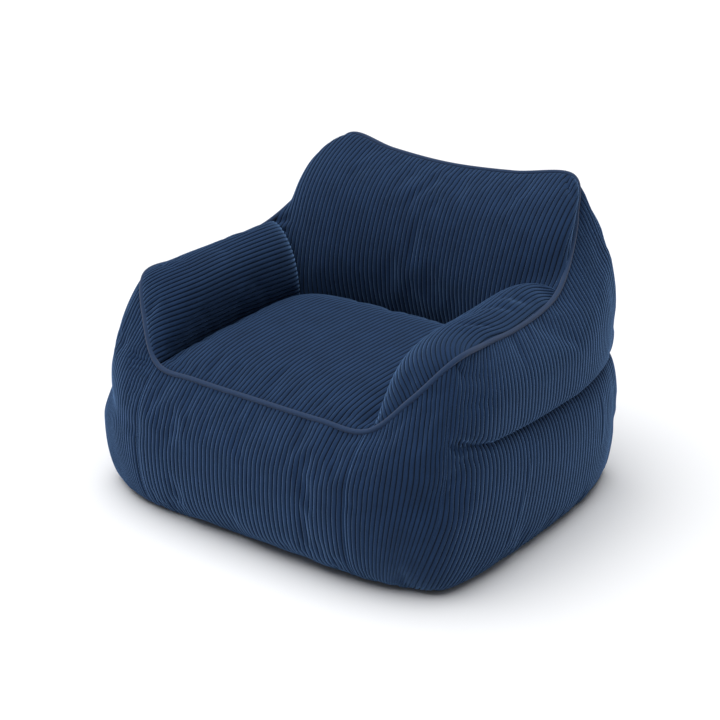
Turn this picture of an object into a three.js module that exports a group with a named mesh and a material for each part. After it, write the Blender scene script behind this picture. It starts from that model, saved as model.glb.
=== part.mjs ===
// A pouf armchair: a soft filled tub seat sewn from corduroy panels, with one
// corded seam running round its front lip, over both arms and along the back.
// Millimetres, +Z up, the viewer's right is +X and the back of the chair is +Y.
// The origin is under the middle of the chair, on the floor.
//
// Each panel is a filled block: its face has the shape of the stuffed cloth, and
// flat hidden walls run from its seams down to the base.
import * as THREE from 'three';

// Driving sizes
const FRONT_TO_CENTRE = 334.8; // front corner of the piping to the chair's centre
const MIDDLE_FROM_FRONT = 300; // point that the hidden walls stand round
const MIDDLE_HEIGHT = 200;
const PIPING_RADIUS = 5;
const PIPING_STEPS = 190;
const PIPING_SIDES = 8;
const FACE_TO_PIPING = 6.5; // piping's centre to the edge of a panel's face
const WALL_TO_PIPING = 7.5; // piping's centre to the top of the wall below it
const NOTCH_SHARES = [0, 1 / 3, 2 / 3, 1];
const SEAM_DEPTHS = [5, 10, 15]; // rows down a hidden wall below a plain seam
const BASE_THICKNESS = 4;
const PANEL_BOTTOM = 4.2;
const WALL_FOOT_IN = 40; // a hidden wall's foot, inside the visible one
const SEAM_GAP = 0.4;

// The tables run round half of the chair: station 0 is the middle of the front
// and station 13 the middle of the back. x is half the width there, and y is
// measured back from the front corner of the piping.
const FRONT_CORNER = 2;
const ARM_FRONT = 4;
const ARM_BACK = 8;
const BACK_CORNER = 11;
const LAST_STATION = 13;

function table(columns, rows) {
  return rows.map((row) => Object.fromEntries(columns.map((name, i) => [name, row[i]])));
}

// Centre line of the piping
const PIPING = table(['x', 'y', 'z'], [
  [0, -8, 290],
  [150, -7, 290],
  [257, 0, 294],
  [325, 38, 360],
  [377, 94, 428],
  [380, 190, 432],
  [380, 275, 430],
  [375, 380, 436],
  [364, 460, 452],
  [342, 535, 497],
  [314, 600, 560],
  [277, 640, 624],
  [150, 625, 612],
  [0, 617, 606],
]);

// Widest line of the outside, with how far in the foot and the shoulder lie,
// how far the seams lean at the foot, and how far the foot has settled sideways
const BELLY = table(
  ['x', 'y', 'z', 'footIn', 'lean', 'shoulderIn', 'shoulderZ', 'upperPower', 'settle'],
  [
    [0, -72, 150, 66, 0, 2, 180, 2.2, 0],
    [150, -71, 150, 66, 0, 2, 180, 2.2, 8],
    [257, -66, 150, 66, 0, 3, 185, 2.1, 14],
    [353, -36, 145, 56, -0.35, 8, 200, 1.9, 13],
    [426, 14, 142, 50, -0.85, 20, 225, 1.9, 7],
    [447, 120, 155, 40, -0.62, 12, 315, 2.1, 2],
    [450, 240, 165, 36, -0.45, 10, 330, 2.1, 0],
    [449, 350, 165, 34, -0.3, 10, 332, 2.1, 0],
    [444, 440, 170, 32, -0.15, 8, 335, 2.2, 0],
    [435, 520, 175, 30, 0, 9, 335, 2.2, 0],
    [413, 607, 180, 30, 0, 12, 338, 2.2, 0],
    [370, 680, 185, 32, 0, 14, 340, 2.3, 0],
    [190, 731, 185, 40, 0, 12, 350, 2.3, 0],
    [0, 742, 185, 44, 0, 12, 355, 2.3, 0],
  ],
);

// Crease between the seat and an arm, front to back
const ARM_CREASE = table(['x', 'y', 'z'], [
  [257, 0, 294],
  [264, 110, 300],
  [270, 250, 304],
  [266, 360, 305],
  [255, 436, 302],
]);

// Crease between the seat and the inner back, from the corner to the middle
const BACK_CREASE = table(['x', 'y', 'z'], [
  [255, 436, 302],
  [200, 474, 296],
  [110, 498, 290],
  [0, 508, 288],
]);

// Seam between an arm and the inner back, from the crease up to the piping
const ARM_BACK_SEAM = table(['x', 'y', 'z'], [
  [255, 436, 302],
  [278, 441, 338],
  [308, 449, 378],
  [336, 457, 417],
  [354, 460, 445],
  [364, 460, 452],
]);

// Fold where the filling has settled along the sides and back
const FOLD = table(['station', 'height', 'depth'], [
  [3.9, 300, 0],
  [4.3, 292, 6],
  [5, 272, 14],
  [6, 266, 22],
  [7, 264, 26],
  [8, 263, 26],
  [9, 266, 22],
  [10, 270, 13],
  [11, 280, 10],
  [12, 288, 8],
  [13, 288, 8],
]);
const FOLD_ABOVE = 16; // how softly the fold runs out above and below
const FOLD_BELOW = 34;

// Section of the outside: shares of a column that lie below the widest line and
// below the shoulder, and the roundness of the lower part
const BELLY_SHARE = 0.34;
const SHOULDER_SHARE = 0.6;
const LOWER_POWER = 2.2;
const LEAN_HEIGHT = 240;
const LEAN_POWER = 1.2;

// How far the filling swells each inner panel
const SEAT_CROWN = 42;
const ARM_LOW_BULGE = new THREE.Vector3(-96, 0, 60);
const ARM_HIGH_BULGE = new THREE.Vector3(-72, 0, 87);
const BACK_CROWN = 50;
const BACK_CROWN_WAY = new THREE.Vector3(0, -0.88, 0.47);
const BACK_SIDE_BULGE = 50; // grows from nothing low down to its full size above
const BACK_SIDE_START = -0.75;
const BACK_SIDE_RISE = 2.1;
const BACK_SEAM_SHARE = 0.36; // share of the inner back's side that meets an arm
const BACK_PINCH_SHARE = 0.17;
const RIM_PULL = new THREE.Vector3(384, 497, 484);

// Columns and rows of the faces, as shares of a panel
const ACROSS = [0, 0.13, 0.26, 0.39, 0.52, 0.64, 0.75, 0.84, 0.91, 0.96, 1];
const ALONG_FRONT_OF_ARM = [0, 0.1, 0.2, 0.32, 0.44, 0.54, 0.65, 0.77, 0.89, 1];
const ALONG_ARM = [0, 0.08, 0.17, 0.27, 0.38, 0.5, 0.62, 0.73, 0.83, 0.92, 1];
const UP_BACK = [0, 0.13, 0.26, 0.39, 0.52, 0.65, 0.76, 0.86, 0.93, 0.97, 1];
const UP_TO_FOLD = [0, 0.1, 0.21, 0.36, 0.54, 0.72, 0.85, 0.94, 1];
const ABOVE_FOLD = [0.05, 0.13, 0.3, 0.55, 0.8, 1];

const CORDUROY = { color: 0x2f4560, roughness: 0.95, metalness: 0 };
const PIPING_CLOTH = { color: 0x3b5372, roughness: 0.8, metalness: 0 };
const BASE_CLOTH = { color: 0x2a3d55, roughness: 0.95, metalness: 0 };

const MIDDLE = new THREE.Vector3(0, MIDDLE_FROM_FRONT, MIDDLE_HEIGHT);
const clamp01 = (value) => Math.min(Math.max(value, 0), 1);
const mirrored = (point) => new THREE.Vector3(-point.x, point.y, point.z);

// A smooth curve through a table's rows, read at a fractional row number. An end
// on the chair's middle line runs on into its mirror image.
function alongTable(rows, position, startsAtMiddle = false, endsAtMiddle = false) {
  const last = rows.length - 1;
  const place = Math.min(Math.max(position, 0), last);
  const start = Math.min(Math.floor(place), last - 1);
  const share = place - start;
  const result = {};
  for (const name of Object.keys(rows[0])) {
    const sign = name === 'x' ? -1 : 1;
    const at = (index) => {
      if (index < 0) {
        return startsAtMiddle ? sign * rows[1][name] : 2 * rows[0][name] - rows[1][name];
      }
      if (index > last) {
        const beside = rows[last - 1][name];
        return endsAtMiddle ? sign * beside : 2 * rows[last][name] - beside;
      }
      return rows[index][name];
    };
    const [before, from, to, after] = [at(start - 1), at(start), at(start + 1), at(start + 2)];
    const linear = (to - before) * share;
    const square = (2 * before - 5 * from + 4 * to - after) * share ** 2;
    const cube = (3 * from - before - 3 * to + after) * share ** 3;
    result[name] = 0.5 * (2 * from + linear + square + cube);
  }
  return result;
}

// A straight-line reading of one column of a table against its first column
function readBetween(rows, key, value, name) {
  if (value <= rows[0][key]) {
    return rows[0][name];
  }
  for (let i = 1; i < rows.length; i += 1) {
    if (value <= rows[i][key]) {
      const share = (value - rows[i - 1][key]) / (rows[i][key] - rows[i - 1][key]);
      return THREE.MathUtils.lerp(rows[i - 1][name], rows[i][name], share);
    }
  }
  return rows[rows.length - 1][name];
}

const toPoint = (row) => new THREE.Vector3(row.x, row.y, row.z);
const bellyAt = (station) => alongTable(BELLY, station, true, true);
const creaseAt = (share) => toPoint(alongTable(ARM_CREASE, share * 4));
const seamAt = (share) => toPoint(alongTable(ARM_BACK_SEAM, share * 5));

// Stations on the left of the chair are negative
function pipingAt(station) {
  const point = toPoint(alongTable(PIPING, Math.abs(station), true, true));
  return station < 0 ? mirrored(point) : point;
}

function backCreaseAt(across) {
  const row = alongTable(BACK_CREASE, (1 - Math.abs(across)) * 3, false, true);
  return new THREE.Vector3(Math.sign(across) * row.x, row.y, row.z);
}

function outwardAt(station) {
  const step = 0.001;
  const before = bellyAt(station - step);
  const after = bellyAt(Math.min(station + step, LAST_STATION));
  const way = new THREE.Vector2(after.y - before.y, before.x - after.x);
  return way.normalize();
}

// One point of the outside: share 0 is the foot and 1 the piping
function outsideAt(signedStation, share) {
  const side = Math.sign(signedStation) || 1;
  const station = Math.abs(signedStation);
  const turn = clamp01(share / BELLY_SHARE) * (Math.PI / 2);
  const middle = clamp01((share - BELLY_SHARE) / (SHOULDER_SHARE - BELLY_SHARE));
  const upper = clamp01((share - SHOULDER_SHARE) / (1 - SHOULDER_SHARE));
  const heightOf = (belly, edge) => {
    if (share <= BELLY_SHARE) {
      return belly.z * (1 - Math.max(Math.cos(turn), 0) ** (2 / LOWER_POWER));
    }
    if (share <= SHOULDER_SHARE) {
      return THREE.MathUtils.lerp(belly.z, belly.shoulderZ, middle);
    }
    return THREE.MathUtils.lerp(belly.shoulderZ, edge.z, upper);
  };
  const straight = bellyAt(station);
  const low = clamp01(1 - heightOf(straight, pipingAt(station)) / LEAN_HEIGHT);
  const leaned = station + straight.lean * low ** LEAN_POWER;
  const belly = bellyAt(leaned);
  const edge = pipingAt(leaned);
  const outward = outwardAt(leaned);
  const z = heightOf(belly, edge);
  const widest = new THREE.Vector2(belly.x, belly.y);
  const footIn = belly.footIn + side * belly.settle;
  const foot = widest.clone().addScaledVector(outward, -footIn);
  const shoulder = widest.clone().addScaledVector(outward, -belly.shoulderIn);
  let plan;
  if (share <= BELLY_SHARE) {
    plan = foot.lerp(widest, Math.sin(turn) ** (2 / LOWER_POWER));
  } else if (share <= SHOULDER_SHARE) {
    plan = widest.lerp(shoulder, middle * middle * (3 - 2 * middle));
  } else {
    plan = shoulder.lerp(new THREE.Vector2(edge.x, edge.y), upper ** belly.upperPower);
  }
  const above = z - readBetween(FOLD, 'station', leaned, 'height');
  const reach = above > 0 ? FOLD_ABOVE : FOLD_BELOW;
  const depth = readBetween(FOLD, 'station', leaned, 'depth');
  plan.addScaledVector(outward, -depth * Math.exp(-Math.abs(above) / reach));
  return new THREE.Vector3(side * plan.x, plan.y, z);
}

// Foot of a hidden wall, on the same leaned column as the face outside it, and
// nearer to the middle of the chair
function wallFootAt(signedStation) {
  const station = Math.abs(signedStation);
  const leaned = station + bellyAt(station).lean;
  const belly = bellyAt(leaned);
  const outward = outwardAt(leaned);
  const foot = new THREE.Vector2(belly.x, belly.y).addScaledVector(outward, -belly.footIn);
  const inward = new THREE.Vector2(0, MIDDLE_FROM_FRONT).sub(foot).normalize();
  foot.addScaledVector(inward, WALL_FOOT_IN);
  return new THREE.Vector3(signedStation < 0 ? -foot.x : foot.x, foot.y, PANEL_BOTTOM);
}

// Feet of the walls below the creases
function creaseFootAt(share) {
  const crease = creaseAt(share);
  const corner = wallFootAt(FRONT_CORNER).sub(creaseAt(0));
  const pull = (1 - share) ** 2;
  const x = crease.x + corner.x * pull;
  const y = crease.y + corner.y * pull;
  return new THREE.Vector3(x, y, PANEL_BOTTOM);
}

function backCreaseFootAt(across) {
  return backCreaseAt(across).setZ(PANEL_BOTTOM);
}

function seamFootAt(share) {
  return creaseFootAt(1).lerp(wallFootAt(ARM_BACK), share);
}

// A patch spanned between four edge curves, each a function of its share
function patch(edges, s, t) {
  const corner = (x, y) => edges.low(x).multiplyScalar(y ? 0 : 1).add(edges.high(x).multiplyScalar(y));
  const point = edges.low(s).multiplyScalar(1 - t);
  point.addScaledVector(edges.high(s), t);
  point.addScaledVector(edges.left(t), 1 - s);
  point.addScaledVector(edges.right(t), s);
  point.addScaledVector(corner(0, 0), -(1 - s) * (1 - t));
  point.addScaledVector(corner(1, 0), -s * (1 - t));
  point.addScaledVector(corner(0, 1), -(1 - s) * t);
  point.addScaledVector(corner(1, 1), -s * t);
  return point;
}

// Seat panel: across runs from -1 to 1, along from the lip to the back crease
const SEAT_FACE = {
  low: (s) => pipingAt((2 * s - 1) * FRONT_CORNER),
  high: (s) => backCreaseAt(2 * s - 1),
  left: (t) => mirrored(creaseAt(t)),
  right: (t) => creaseAt(t),
};
const SEAT_BOTTOM = {
  low: (s) => wallFootAt((2 * s - 1) * FRONT_CORNER),
  high: (s) => backCreaseFootAt(2 * s - 1),
  left: (t) => mirrored(creaseFootAt(t)),
  right: (t) => creaseFootAt(t),
};

function seatAt(across, along) {
  const point = patch(SEAT_FACE, (across + 1) / 2, along);
  const lengthwise = clamp01(1 - Math.abs(2 * along - 1) ** 3) ** 0.75;
  const lift = (1 - Math.abs(across) ** 5) * lengthwise * (0.8 + 0.4 * along);
  point.z += SEAT_CROWN * lift;
  return point;
}

// Inner panel of the right arm: out runs from the crease to the piping
const ARM_FACE = {
  low: (s) => pipingAt(FRONT_CORNER + 2 * s),
  high: (s) => seamAt(s),
  left: (t) => creaseAt(t),
  right: (t) => pipingAt(ARM_FRONT + 4 * t),
};
const ARM_BOTTOM = {
  low: (s) => wallFootAt(FRONT_CORNER + 2 * s),
  high: (s) => seamFootAt(s),
  left: (t) => creaseFootAt(t),
  right: (t) => wallFootAt(ARM_FRONT + 4 * t),
};

function armAt(out, along) {
  const point = patch(ARM_FACE, out, along);
  const ends = clamp01(1 - Math.abs(2 * along - 1) ** 4) ** 0.6;
  point.addScaledVector(ARM_LOW_BULGE, 3 * out * (1 - out) ** 2 * ends);
  point.addScaledVector(ARM_HIGH_BULGE, 3 * out ** 2 * (1 - out) * ends);
  return point;
}

// Inner back: up runs from the crease, along the arm's seam and then the piping
function backRimAt(up) {
  if (up <= BACK_SEAM_SHARE) {
    return seamAt(up / BACK_SEAM_SHARE);
  }
  return pipingAt(ARM_BACK + (3 * (up - BACK_SEAM_SHARE)) / (1 - BACK_SEAM_SHARE));
}

// The rim without its corner at the end of the arm, which the filling rounds off
function softRimAt(up) {
  const start = creaseAt(1).multiplyScalar((1 - up) ** 2);
  const end = pipingAt(BACK_CORNER).multiplyScalar(up ** 2);
  return start.add(end).addScaledVector(RIM_PULL, 2 * up * (1 - up));
}

function backRimFootAt(up) {
  if (up <= BACK_SEAM_SHARE) {
    return seamFootAt(up / BACK_SEAM_SHARE);
  }
  return wallFootAt(ARM_BACK + (3 * (up - BACK_SEAM_SHARE)) / (1 - BACK_SEAM_SHARE));
}

function topStation(across) {
  return (Math.sign(across) || 1) * (LAST_STATION - 2 * Math.abs(across));
}

const BACK_FACE = {
  low: (s) => backCreaseAt(2 * s - 1),
  high: (s) => pipingAt(topStation(2 * s - 1)),
  left: (t) => mirrored(softRimAt(t)),
  right: (t) => softRimAt(t),
};
const BACK_BOTTOM = {
  low: (s) => backCreaseFootAt(2 * s - 1),
  high: (s) => wallFootAt(topStation(2 * s - 1)),
  left: (t) => mirrored(backRimFootAt(t)),
  right: (t) => backRimFootAt(t),
};

function backAt(across, up) {
  const point = patch(BACK_FACE, (across + 1) / 2, up);
  const corner = backRimAt(up).sub(softRimAt(up)).multiplyScalar(Math.abs(across) ** 10);
  point.add(across < 0 ? mirrored(corner) : corner);
  const lengthwise = clamp01(1 - Math.abs(2 * up - 1) ** 3) ** 0.8;
  const aboveSeam = Math.max(up - BACK_SEAM_SHARE, 0) / BACK_PINCH_SHARE;
  const pinch = 1 - Math.exp(-(aboveSeam ** 2)) * Math.abs(across) ** 6;
  const swell = (1 - Math.abs(across) ** 6) ** 0.5 * lengthwise * pinch;
  point.addScaledVector(BACK_CROWN_WAY, BACK_CROWN * swell);
  const rise = BACK_SIDE_START + BACK_SIDE_RISE * up;
  const beside = 1.5 * across ** 2 * (1 - across ** 12) * lengthwise * pinch * rise;
  point.x += Math.sign(across) * BACK_SIDE_BULGE * beside;
  return point;
}

// Rows between a face and the wall behind it, where a panel meets the piping.
// They go round the piping through the panel's own filling, from the edge of the
// face beside it to the top of the wall below it.
function pipingNotch(station, facePoint, fillingPoint) {
  const centre = pipingAt(station);
  const step = station > 0 ? -0.01 : 0.01;
  const tangent = pipingAt(station + step).sub(centre).normalize();
  const wayTo = (point) => {
    const way = point.clone().sub(centre);
    return way.addScaledVector(tangent, -way.dot(tangent)).normalize();
  };
  const face = wayTo(facePoint);
  const beside = tangent.clone().cross(face);
  const turnTo = (point) => {
    const way = wayTo(point);
    return Math.atan2(way.dot(beside), way.dot(face));
  };
  let turn = turnTo(wallFootAt(station));
  const sense = fillingPoint ? Math.sign(turnTo(fillingPoint)) : Math.sign(turn);
  if (turn * sense < 0) turn += sense * 2 * Math.PI;
  return NOTCH_SHARES.map((share) => {
    const radius = THREE.MathUtils.lerp(FACE_TO_PIPING, WALL_TO_PIPING, share);
    const point = centre.clone().addScaledVector(face, radius * Math.cos(turn * share));
    return point.addScaledVector(beside, radius * Math.sin(turn * share));
  });
}

// Closed bodies collected point by point
class Body {
  constructor() {
    this.points = [];
    this.faces = [];
  }

  add(point) {
    this.points.push(point.clone());
    return this.points.length - 1;
  }

  triangle(a, b, c) {
    this.faces.push([a, b, c]);
  }

  // A skin's square is split along its shorter diagonal
  square(a, b, c, d) {
    const points = this.points;
    if (points[a].distanceTo(points[c]) <= points[b].distanceTo(points[d])) {
      this.triangle(a, b, c);
      this.triangle(a, c, d);
    } else {
      this.triangle(b, c, d);
      this.triangle(b, d, a);
    }
  }

  // Squares of a hidden wall split the same way on both of its sides: from the
  // top of the column nearer the front to the foot of the other one
  wall(first, second) {
    const bearing = (column) => {
      const foot = this.points[column[column.length - 1]];
      return Math.atan2(Math.abs(foot.x), MIDDLE_FROM_FRONT - foot.y);
    };
    const firstLeads = bearing(first) < bearing(second);
    for (let row = 1; row < first.length; row += 1) {
      const [a, b] = [first[row - 1], first[row]];
      const [d, c] = [second[row - 1], second[row]];
      if (firstLeads) {
        this.triangle(a, b, c);
        this.triangle(a, c, d);
      } else {
        this.triangle(b, c, d);
        this.triangle(b, d, a);
      }
    }
  }

  volume() {
    let sum = 0;
    for (const [a, b, c] of this.faces) {
      sum += this.points[a].dot(this.points[b].clone().cross(this.points[c])) / 6;
    }
    return sum;
  }

  faceNormal([a, b, c]) {
    const edge = this.points[b].clone().sub(this.points[a]);
    return edge.cross(this.points[c].clone().sub(this.points[a])).normalize();
  }

  // The body with every face drawn in by half of the gap between two panels
  geometry() {
    if (this.volume() < 0) {
      this.faces = this.faces.map(([a, b, c]) => [a, c, b]);
    }
    const normals = this.faces.map((face) => this.faceNormal(face));
    const touching = this.points.map(() => []);
    this.faces.forEach((face, i) => face.forEach((corner) => touching[corner].push(normals[i])));
    const moved = this.points.map((point, i) => {
      const sum = new THREE.Vector3();
      const spread = new THREE.Matrix3().set(1e-3, 0, 0, 0, 1e-3, 0, 0, 0, 1e-3);
      for (const { x, y, z } of touching[i]) {
        sum.add(new THREE.Vector3(x, y, z));
        const products = [x * x, x * y, x * z, x * y, y * y, y * z, x * z, y * z, z * z];
        products.forEach((product, k) => { spread.elements[k] += product; });
      }
      const way = sum.applyMatrix3(spread.invert());
      return point.clone().addScaledVector(way, -SEAM_GAP / 2);
    });
    const positions = moved.flatMap((point) => [point.x, point.y - FRONT_TO_CENTRE, point.z]);
    const geometry = new THREE.BufferGeometry();
    geometry.setAttribute('position', new THREE.Float32BufferAttribute(positions, 3));
    geometry.setIndex(this.faces.flat());
    geometry.computeVertexNormals();
    return geometry;
  }
}

// An inner panel. Its face and its bottom have the same columns and rows, and
// edgeStation names the piping's station along its rim, or null on a seam.
function innerPanel(columns, rows, faceAt, bottomEdges, shares, edgeStation) {
  const body = new Body();
  const lastColumn = columns.length - 1;
  const lastRow = rows.length - 1;
  const notches = new Map();
  const inward = (i, j) => {
    const near = [Math.min(Math.max(i, 1), lastColumn - 1), Math.min(Math.max(j, 1), lastRow - 1)];
    return faceAt(columns[near[0]], rows[near[1]]);
  };
  const top = columns.map((column, i) => rows.map((row, j) => {
    const station = edgeStation(i, j);
    if (station === null) {
      return body.add(faceAt(column, row));
    }
    const seam = Math.abs(station) === FRONT_CORNER || Math.abs(station) === ARM_BACK;
    const side = Math.sign(station);
    let target = inward(i, j);
    if (seam) {
      target = Math.abs(station) === FRONT_CORNER ? creaseAt(0.15) : seamAt(0.85);
      target = side < 0 ? mirrored(target) : target;
    }
    const notch = pipingNotch(station, target, seam ? null : MIDDLE);
    notches.set(`${i},${j}`, notch);
    return body.add(notch[0]);
  }));
  const bottom = columns.map((column, i) => rows.map((row, j) => {
    const [s, t] = shares(column, row);
    return body.add(patch(bottomEdges, s, t));
  }));
  for (let i = 0; i < lastColumn; i += 1) {
    for (let j = 0; j < lastRow; j += 1) {
      body.square(top[i][j], top[i + 1][j], top[i + 1][j + 1], top[i][j + 1]);
      body.square(bottom[i][j], bottom[i][j + 1], bottom[i + 1][j + 1], bottom[i + 1][j]);
    }
  }
  const rim = [];
  for (let i = 0; i < lastColumn; i += 1) rim.push([i, 0]);
  for (let j = 0; j < lastRow; j += 1) rim.push([lastColumn, j]);
  for (let i = lastColumn; i > 0; i -= 1) rim.push([i, lastRow]);
  for (let j = lastRow; j > 0; j -= 1) rim.push([0, j]);
  const drops = rim.map(([i, j]) => {
    const notch = notches.get(`${i},${j}`);
    if (notch) {
      return [top[i][j], ...notch.slice(1).map((point) => body.add(point)), bottom[i][j]];
    }
    const from = body.points[top[i][j]];
    const to = body.points[bottom[i][j]];
    const length = from.distanceTo(to);
    const rows = SEAM_DEPTHS.map((depth) => body.add(from.clone().lerp(to, depth / length)));
    return [top[i][j], ...rows, bottom[i][j]];
  });
  drops.forEach((drop, k) => body.wall(drop, drops[(k + 1) % drops.length]));
  return body.geometry();
}

// An outer panel: one closed ring for each station, from the foot up the face to
// the piping and down the hidden wall
function outerPanel(stations) {
  const body = new Body();
  const rings = stations.map((station) => {
    const foldHeight = readBetween(FOLD, 'station', Math.abs(station), 'height');
    const belly = bellyAt(Math.abs(station));
    const rise = (foldHeight - belly.z) / (belly.shoulderZ - belly.z);
    const span = SHOULDER_SHARE - BELLY_SHARE;
    const foldShare = BELLY_SHARE + span * Math.min(rise, 0.96);
    const shares = UP_TO_FOLD.map((share) => share * foldShare);
    shares.push(...ABOVE_FOLD.map((share) => foldShare + share * (1 - foldShare)));
    const face = shares.slice(0, -1).map((share) => outsideAt(station, share));
    face.forEach((point) => point.setZ(Math.max(point.z, PANEL_BOTTOM)));
    const target = outsideAt(station, 1 - 0.35 * (1 - shares[shares.length - 2]));
    const filling = new THREE.Vector3(Math.sign(station) * belly.x, belly.y, belly.z);
    const notch = pipingNotch(station, target, filling);
    const points = [...face, ...notch, wallFootAt(station)];
    return points.map((point) => body.add(point));
  });
  const size = rings[0].length;
  for (let k = 1; k < rings.length; k += 1) {
    const [from, to] = [rings[k - 1], rings[k]];
    for (let r = 0; r < size - 2; r += 1) {
      body.square(from[r], to[r], to[r + 1], from[r + 1]);
    }
    body.wall([to[size - 2], to[size - 1]], [from[size - 2], from[size - 1]]);
    body.square(from[size - 1], to[size - 1], to[0], from[0]);
  }
  const close = (ring, flip) => {
    const [wallTop, wallFoot] = [size - 2, size - 1];
    const half = UP_TO_FOLD.length - 3;
    const face = (a, b, c) => {
      body.triangle(ring[a], ring[flip ? c : b], ring[flip ? b : c]);
    };
    for (let r = 0; r < half; r += 1) face(wallFoot, r, r + 1);
    face(wallFoot, half, wallTop);
    for (let r = half; r < wallTop - 1; r += 1) face(wallTop, r, r + 1);
  };
  close(rings[0], false);
  close(rings[rings.length - 1], true);
  return body.geometry();
}

class PipingLine extends THREE.Curve {
  getPoint(share, target = new THREE.Vector3()) {
    const station = share < 0.5 ? share * 26 : (share - 1) * 26;
    target.copy(pipingAt(station));
    target.y -= FRONT_TO_CENTRE;
    return target;
  }
}

function pipingGeometry() {
  const line = new PipingLine();
  line.arcLengthDivisions = 1200;
  return new THREE.TubeGeometry(line, PIPING_STEPS, PIPING_RADIUS, PIPING_SIDES, true);
}

function baseGeometry(stations) {
  const outline = stations.map((station) => {
    const foot = outsideAt(station, 0);
    return new THREE.Vector2(foot.x, foot.y - FRONT_TO_CENTRE);
  });
  const options = { depth: BASE_THICKNESS, bevelEnabled: false };
  return new THREE.ExtrudeGeometry(new THREE.Shape(outline), options);
}

function mirrorGeometry(geometry) {
  const position = geometry.getAttribute('position');
  for (let i = 0; i < position.count; i += 1) position.setX(i, -position.getX(i));
  const index = geometry.getIndex().array;
  for (let i = 0; i < index.length; i += 3) {
    [index[i + 1], index[i + 2]] = [index[i + 2], index[i + 1]];
  }
  geometry.computeVertexNormals();
  return geometry;
}

const bothSides = (shares) => [...shares.slice(1).reverse().map((share) => -share), ...shares];
const halfShares = (across, along) => [(across + 1) / 2, along];
const plainShares = (out, along) => [out, along];

function seatGeometry() {
  const columns = bothSides(ACROSS);
  return innerPanel(columns, ALONG_ARM, seatAt, SEAT_BOTTOM, halfShares, (i, j) => {
    if (j > 0) return null;
    return columns[i] === 0 ? 0 : columns[i] * FRONT_CORNER;
  });
}

function armGeometry() {
  const columns = ALONG_FRONT_OF_ARM;
  const rows = ALONG_ARM;
  return innerPanel(columns, rows, armAt, ARM_BOTTOM, plainShares, (i, j) => {
    if (j === 0) return FRONT_CORNER + 2 * columns[i];
    return i === columns.length - 1 ? ARM_FRONT + 4 * rows[j] : null;
  });
}

function backGeometry() {
  const columns = bothSides(ACROSS);
  const rows = ALONG_FRONT_OF_ARM.map((share) => share * BACK_SEAM_SHARE);
  const upper = UP_BACK.slice(1);
  rows.push(...upper.map((share) => BACK_SEAM_SHARE + share * (1 - BACK_SEAM_SHARE)));
  const seamRow = ALONG_FRONT_OF_ARM.length - 1;
  return innerPanel(columns, rows, backAt, BACK_BOTTOM, halfShares, (i, j) => {
    if (j === rows.length - 1) return topStation(columns[i]);
    const beside = i === 0 || i === columns.length - 1;
    if (!beside || j < seamRow) return null;
    const station = ARM_BACK + 3 * UP_BACK[j - seamRow];
    return i === 0 ? -station : station;
  });
}

const FRONT_STATIONS = bothSides(ACROSS).map((share) => share * FRONT_CORNER);
const CORNER_STATIONS = ALONG_FRONT_OF_ARM.map((share) => FRONT_CORNER + 2 * share);
const SIDE_STATIONS = ALONG_ARM.map((share) => ARM_FRONT + 4 * share);
SIDE_STATIONS.push(...UP_BACK.slice(1).map((share) => ARM_BACK + 3 * share));
const HALF_BACK = ACROSS.map((share) => LAST_STATION - 2 * share);
const BACK_STATIONS = [...HALF_BACK.slice().reverse(), ...HALF_BACK.slice(1).map((u) => -u)];
const RIGHT_STATIONS = [
  ...CORNER_STATIONS,
  ...SIDE_STATIONS.slice(1),
  ...HALF_BACK.slice(1, -1).reverse(),
  LAST_STATION,
];
const FOOT_STATIONS = [
  ...FRONT_STATIONS,
  ...RIGHT_STATIONS.slice(1),
  ...RIGHT_STATIONS.slice(1, -1).reverse().map((u) => -u),
];

const chair = new THREE.Group();

function addPart(name, geometry, look) {
  const mesh = new THREE.Mesh(geometry, new THREE.MeshStandardMaterial(look));
  mesh.name = name;
  chair.add(mesh);
}

const left = (stations) => stations.map((station) => -station).reverse();

addPart('seat_panel', seatGeometry(), CORDUROY);
addPart('back_inner_panel', backGeometry(), CORDUROY);
addPart('arm_inner_right', armGeometry(), CORDUROY);
addPart('arm_inner_left', mirrorGeometry(armGeometry()), CORDUROY);
addPart('front_panel', outerPanel(FRONT_STATIONS), CORDUROY);
addPart('front_corner_right', outerPanel(CORNER_STATIONS), CORDUROY);
addPart('front_corner_left', outerPanel(left(CORNER_STATIONS)), CORDUROY);
addPart('side_panel_right', outerPanel(SIDE_STATIONS), CORDUROY);
addPart('side_panel_left', outerPanel(left(SIDE_STATIONS)), CORDUROY);
addPart('back_outer_panel', outerPanel(BACK_STATIONS), CORDUROY);
addPart('piping', pipingGeometry(), PIPING_CLOTH);
addPart('base_panel', baseGeometry(FOOT_STATIONS), BASE_CLOTH);

export default chair;
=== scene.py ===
"""Looks of a pouf armchair: a soft-filled tub seat sewn from corduroy panels.

Each panel is a skin over the chair's form. Its coarse cloth is swollen by a
short cloth simulation, and the fine skin on top of it carries the raised ribs
of the corduroy, the drawn-in seams and the tucks. Form tables are in
millimetres, with y measured back from the front corner of the piping.
"""

from __future__ import annotations

import logging
import math
from dataclasses import dataclass, field
from enum import Enum
from typing import Callable

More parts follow.
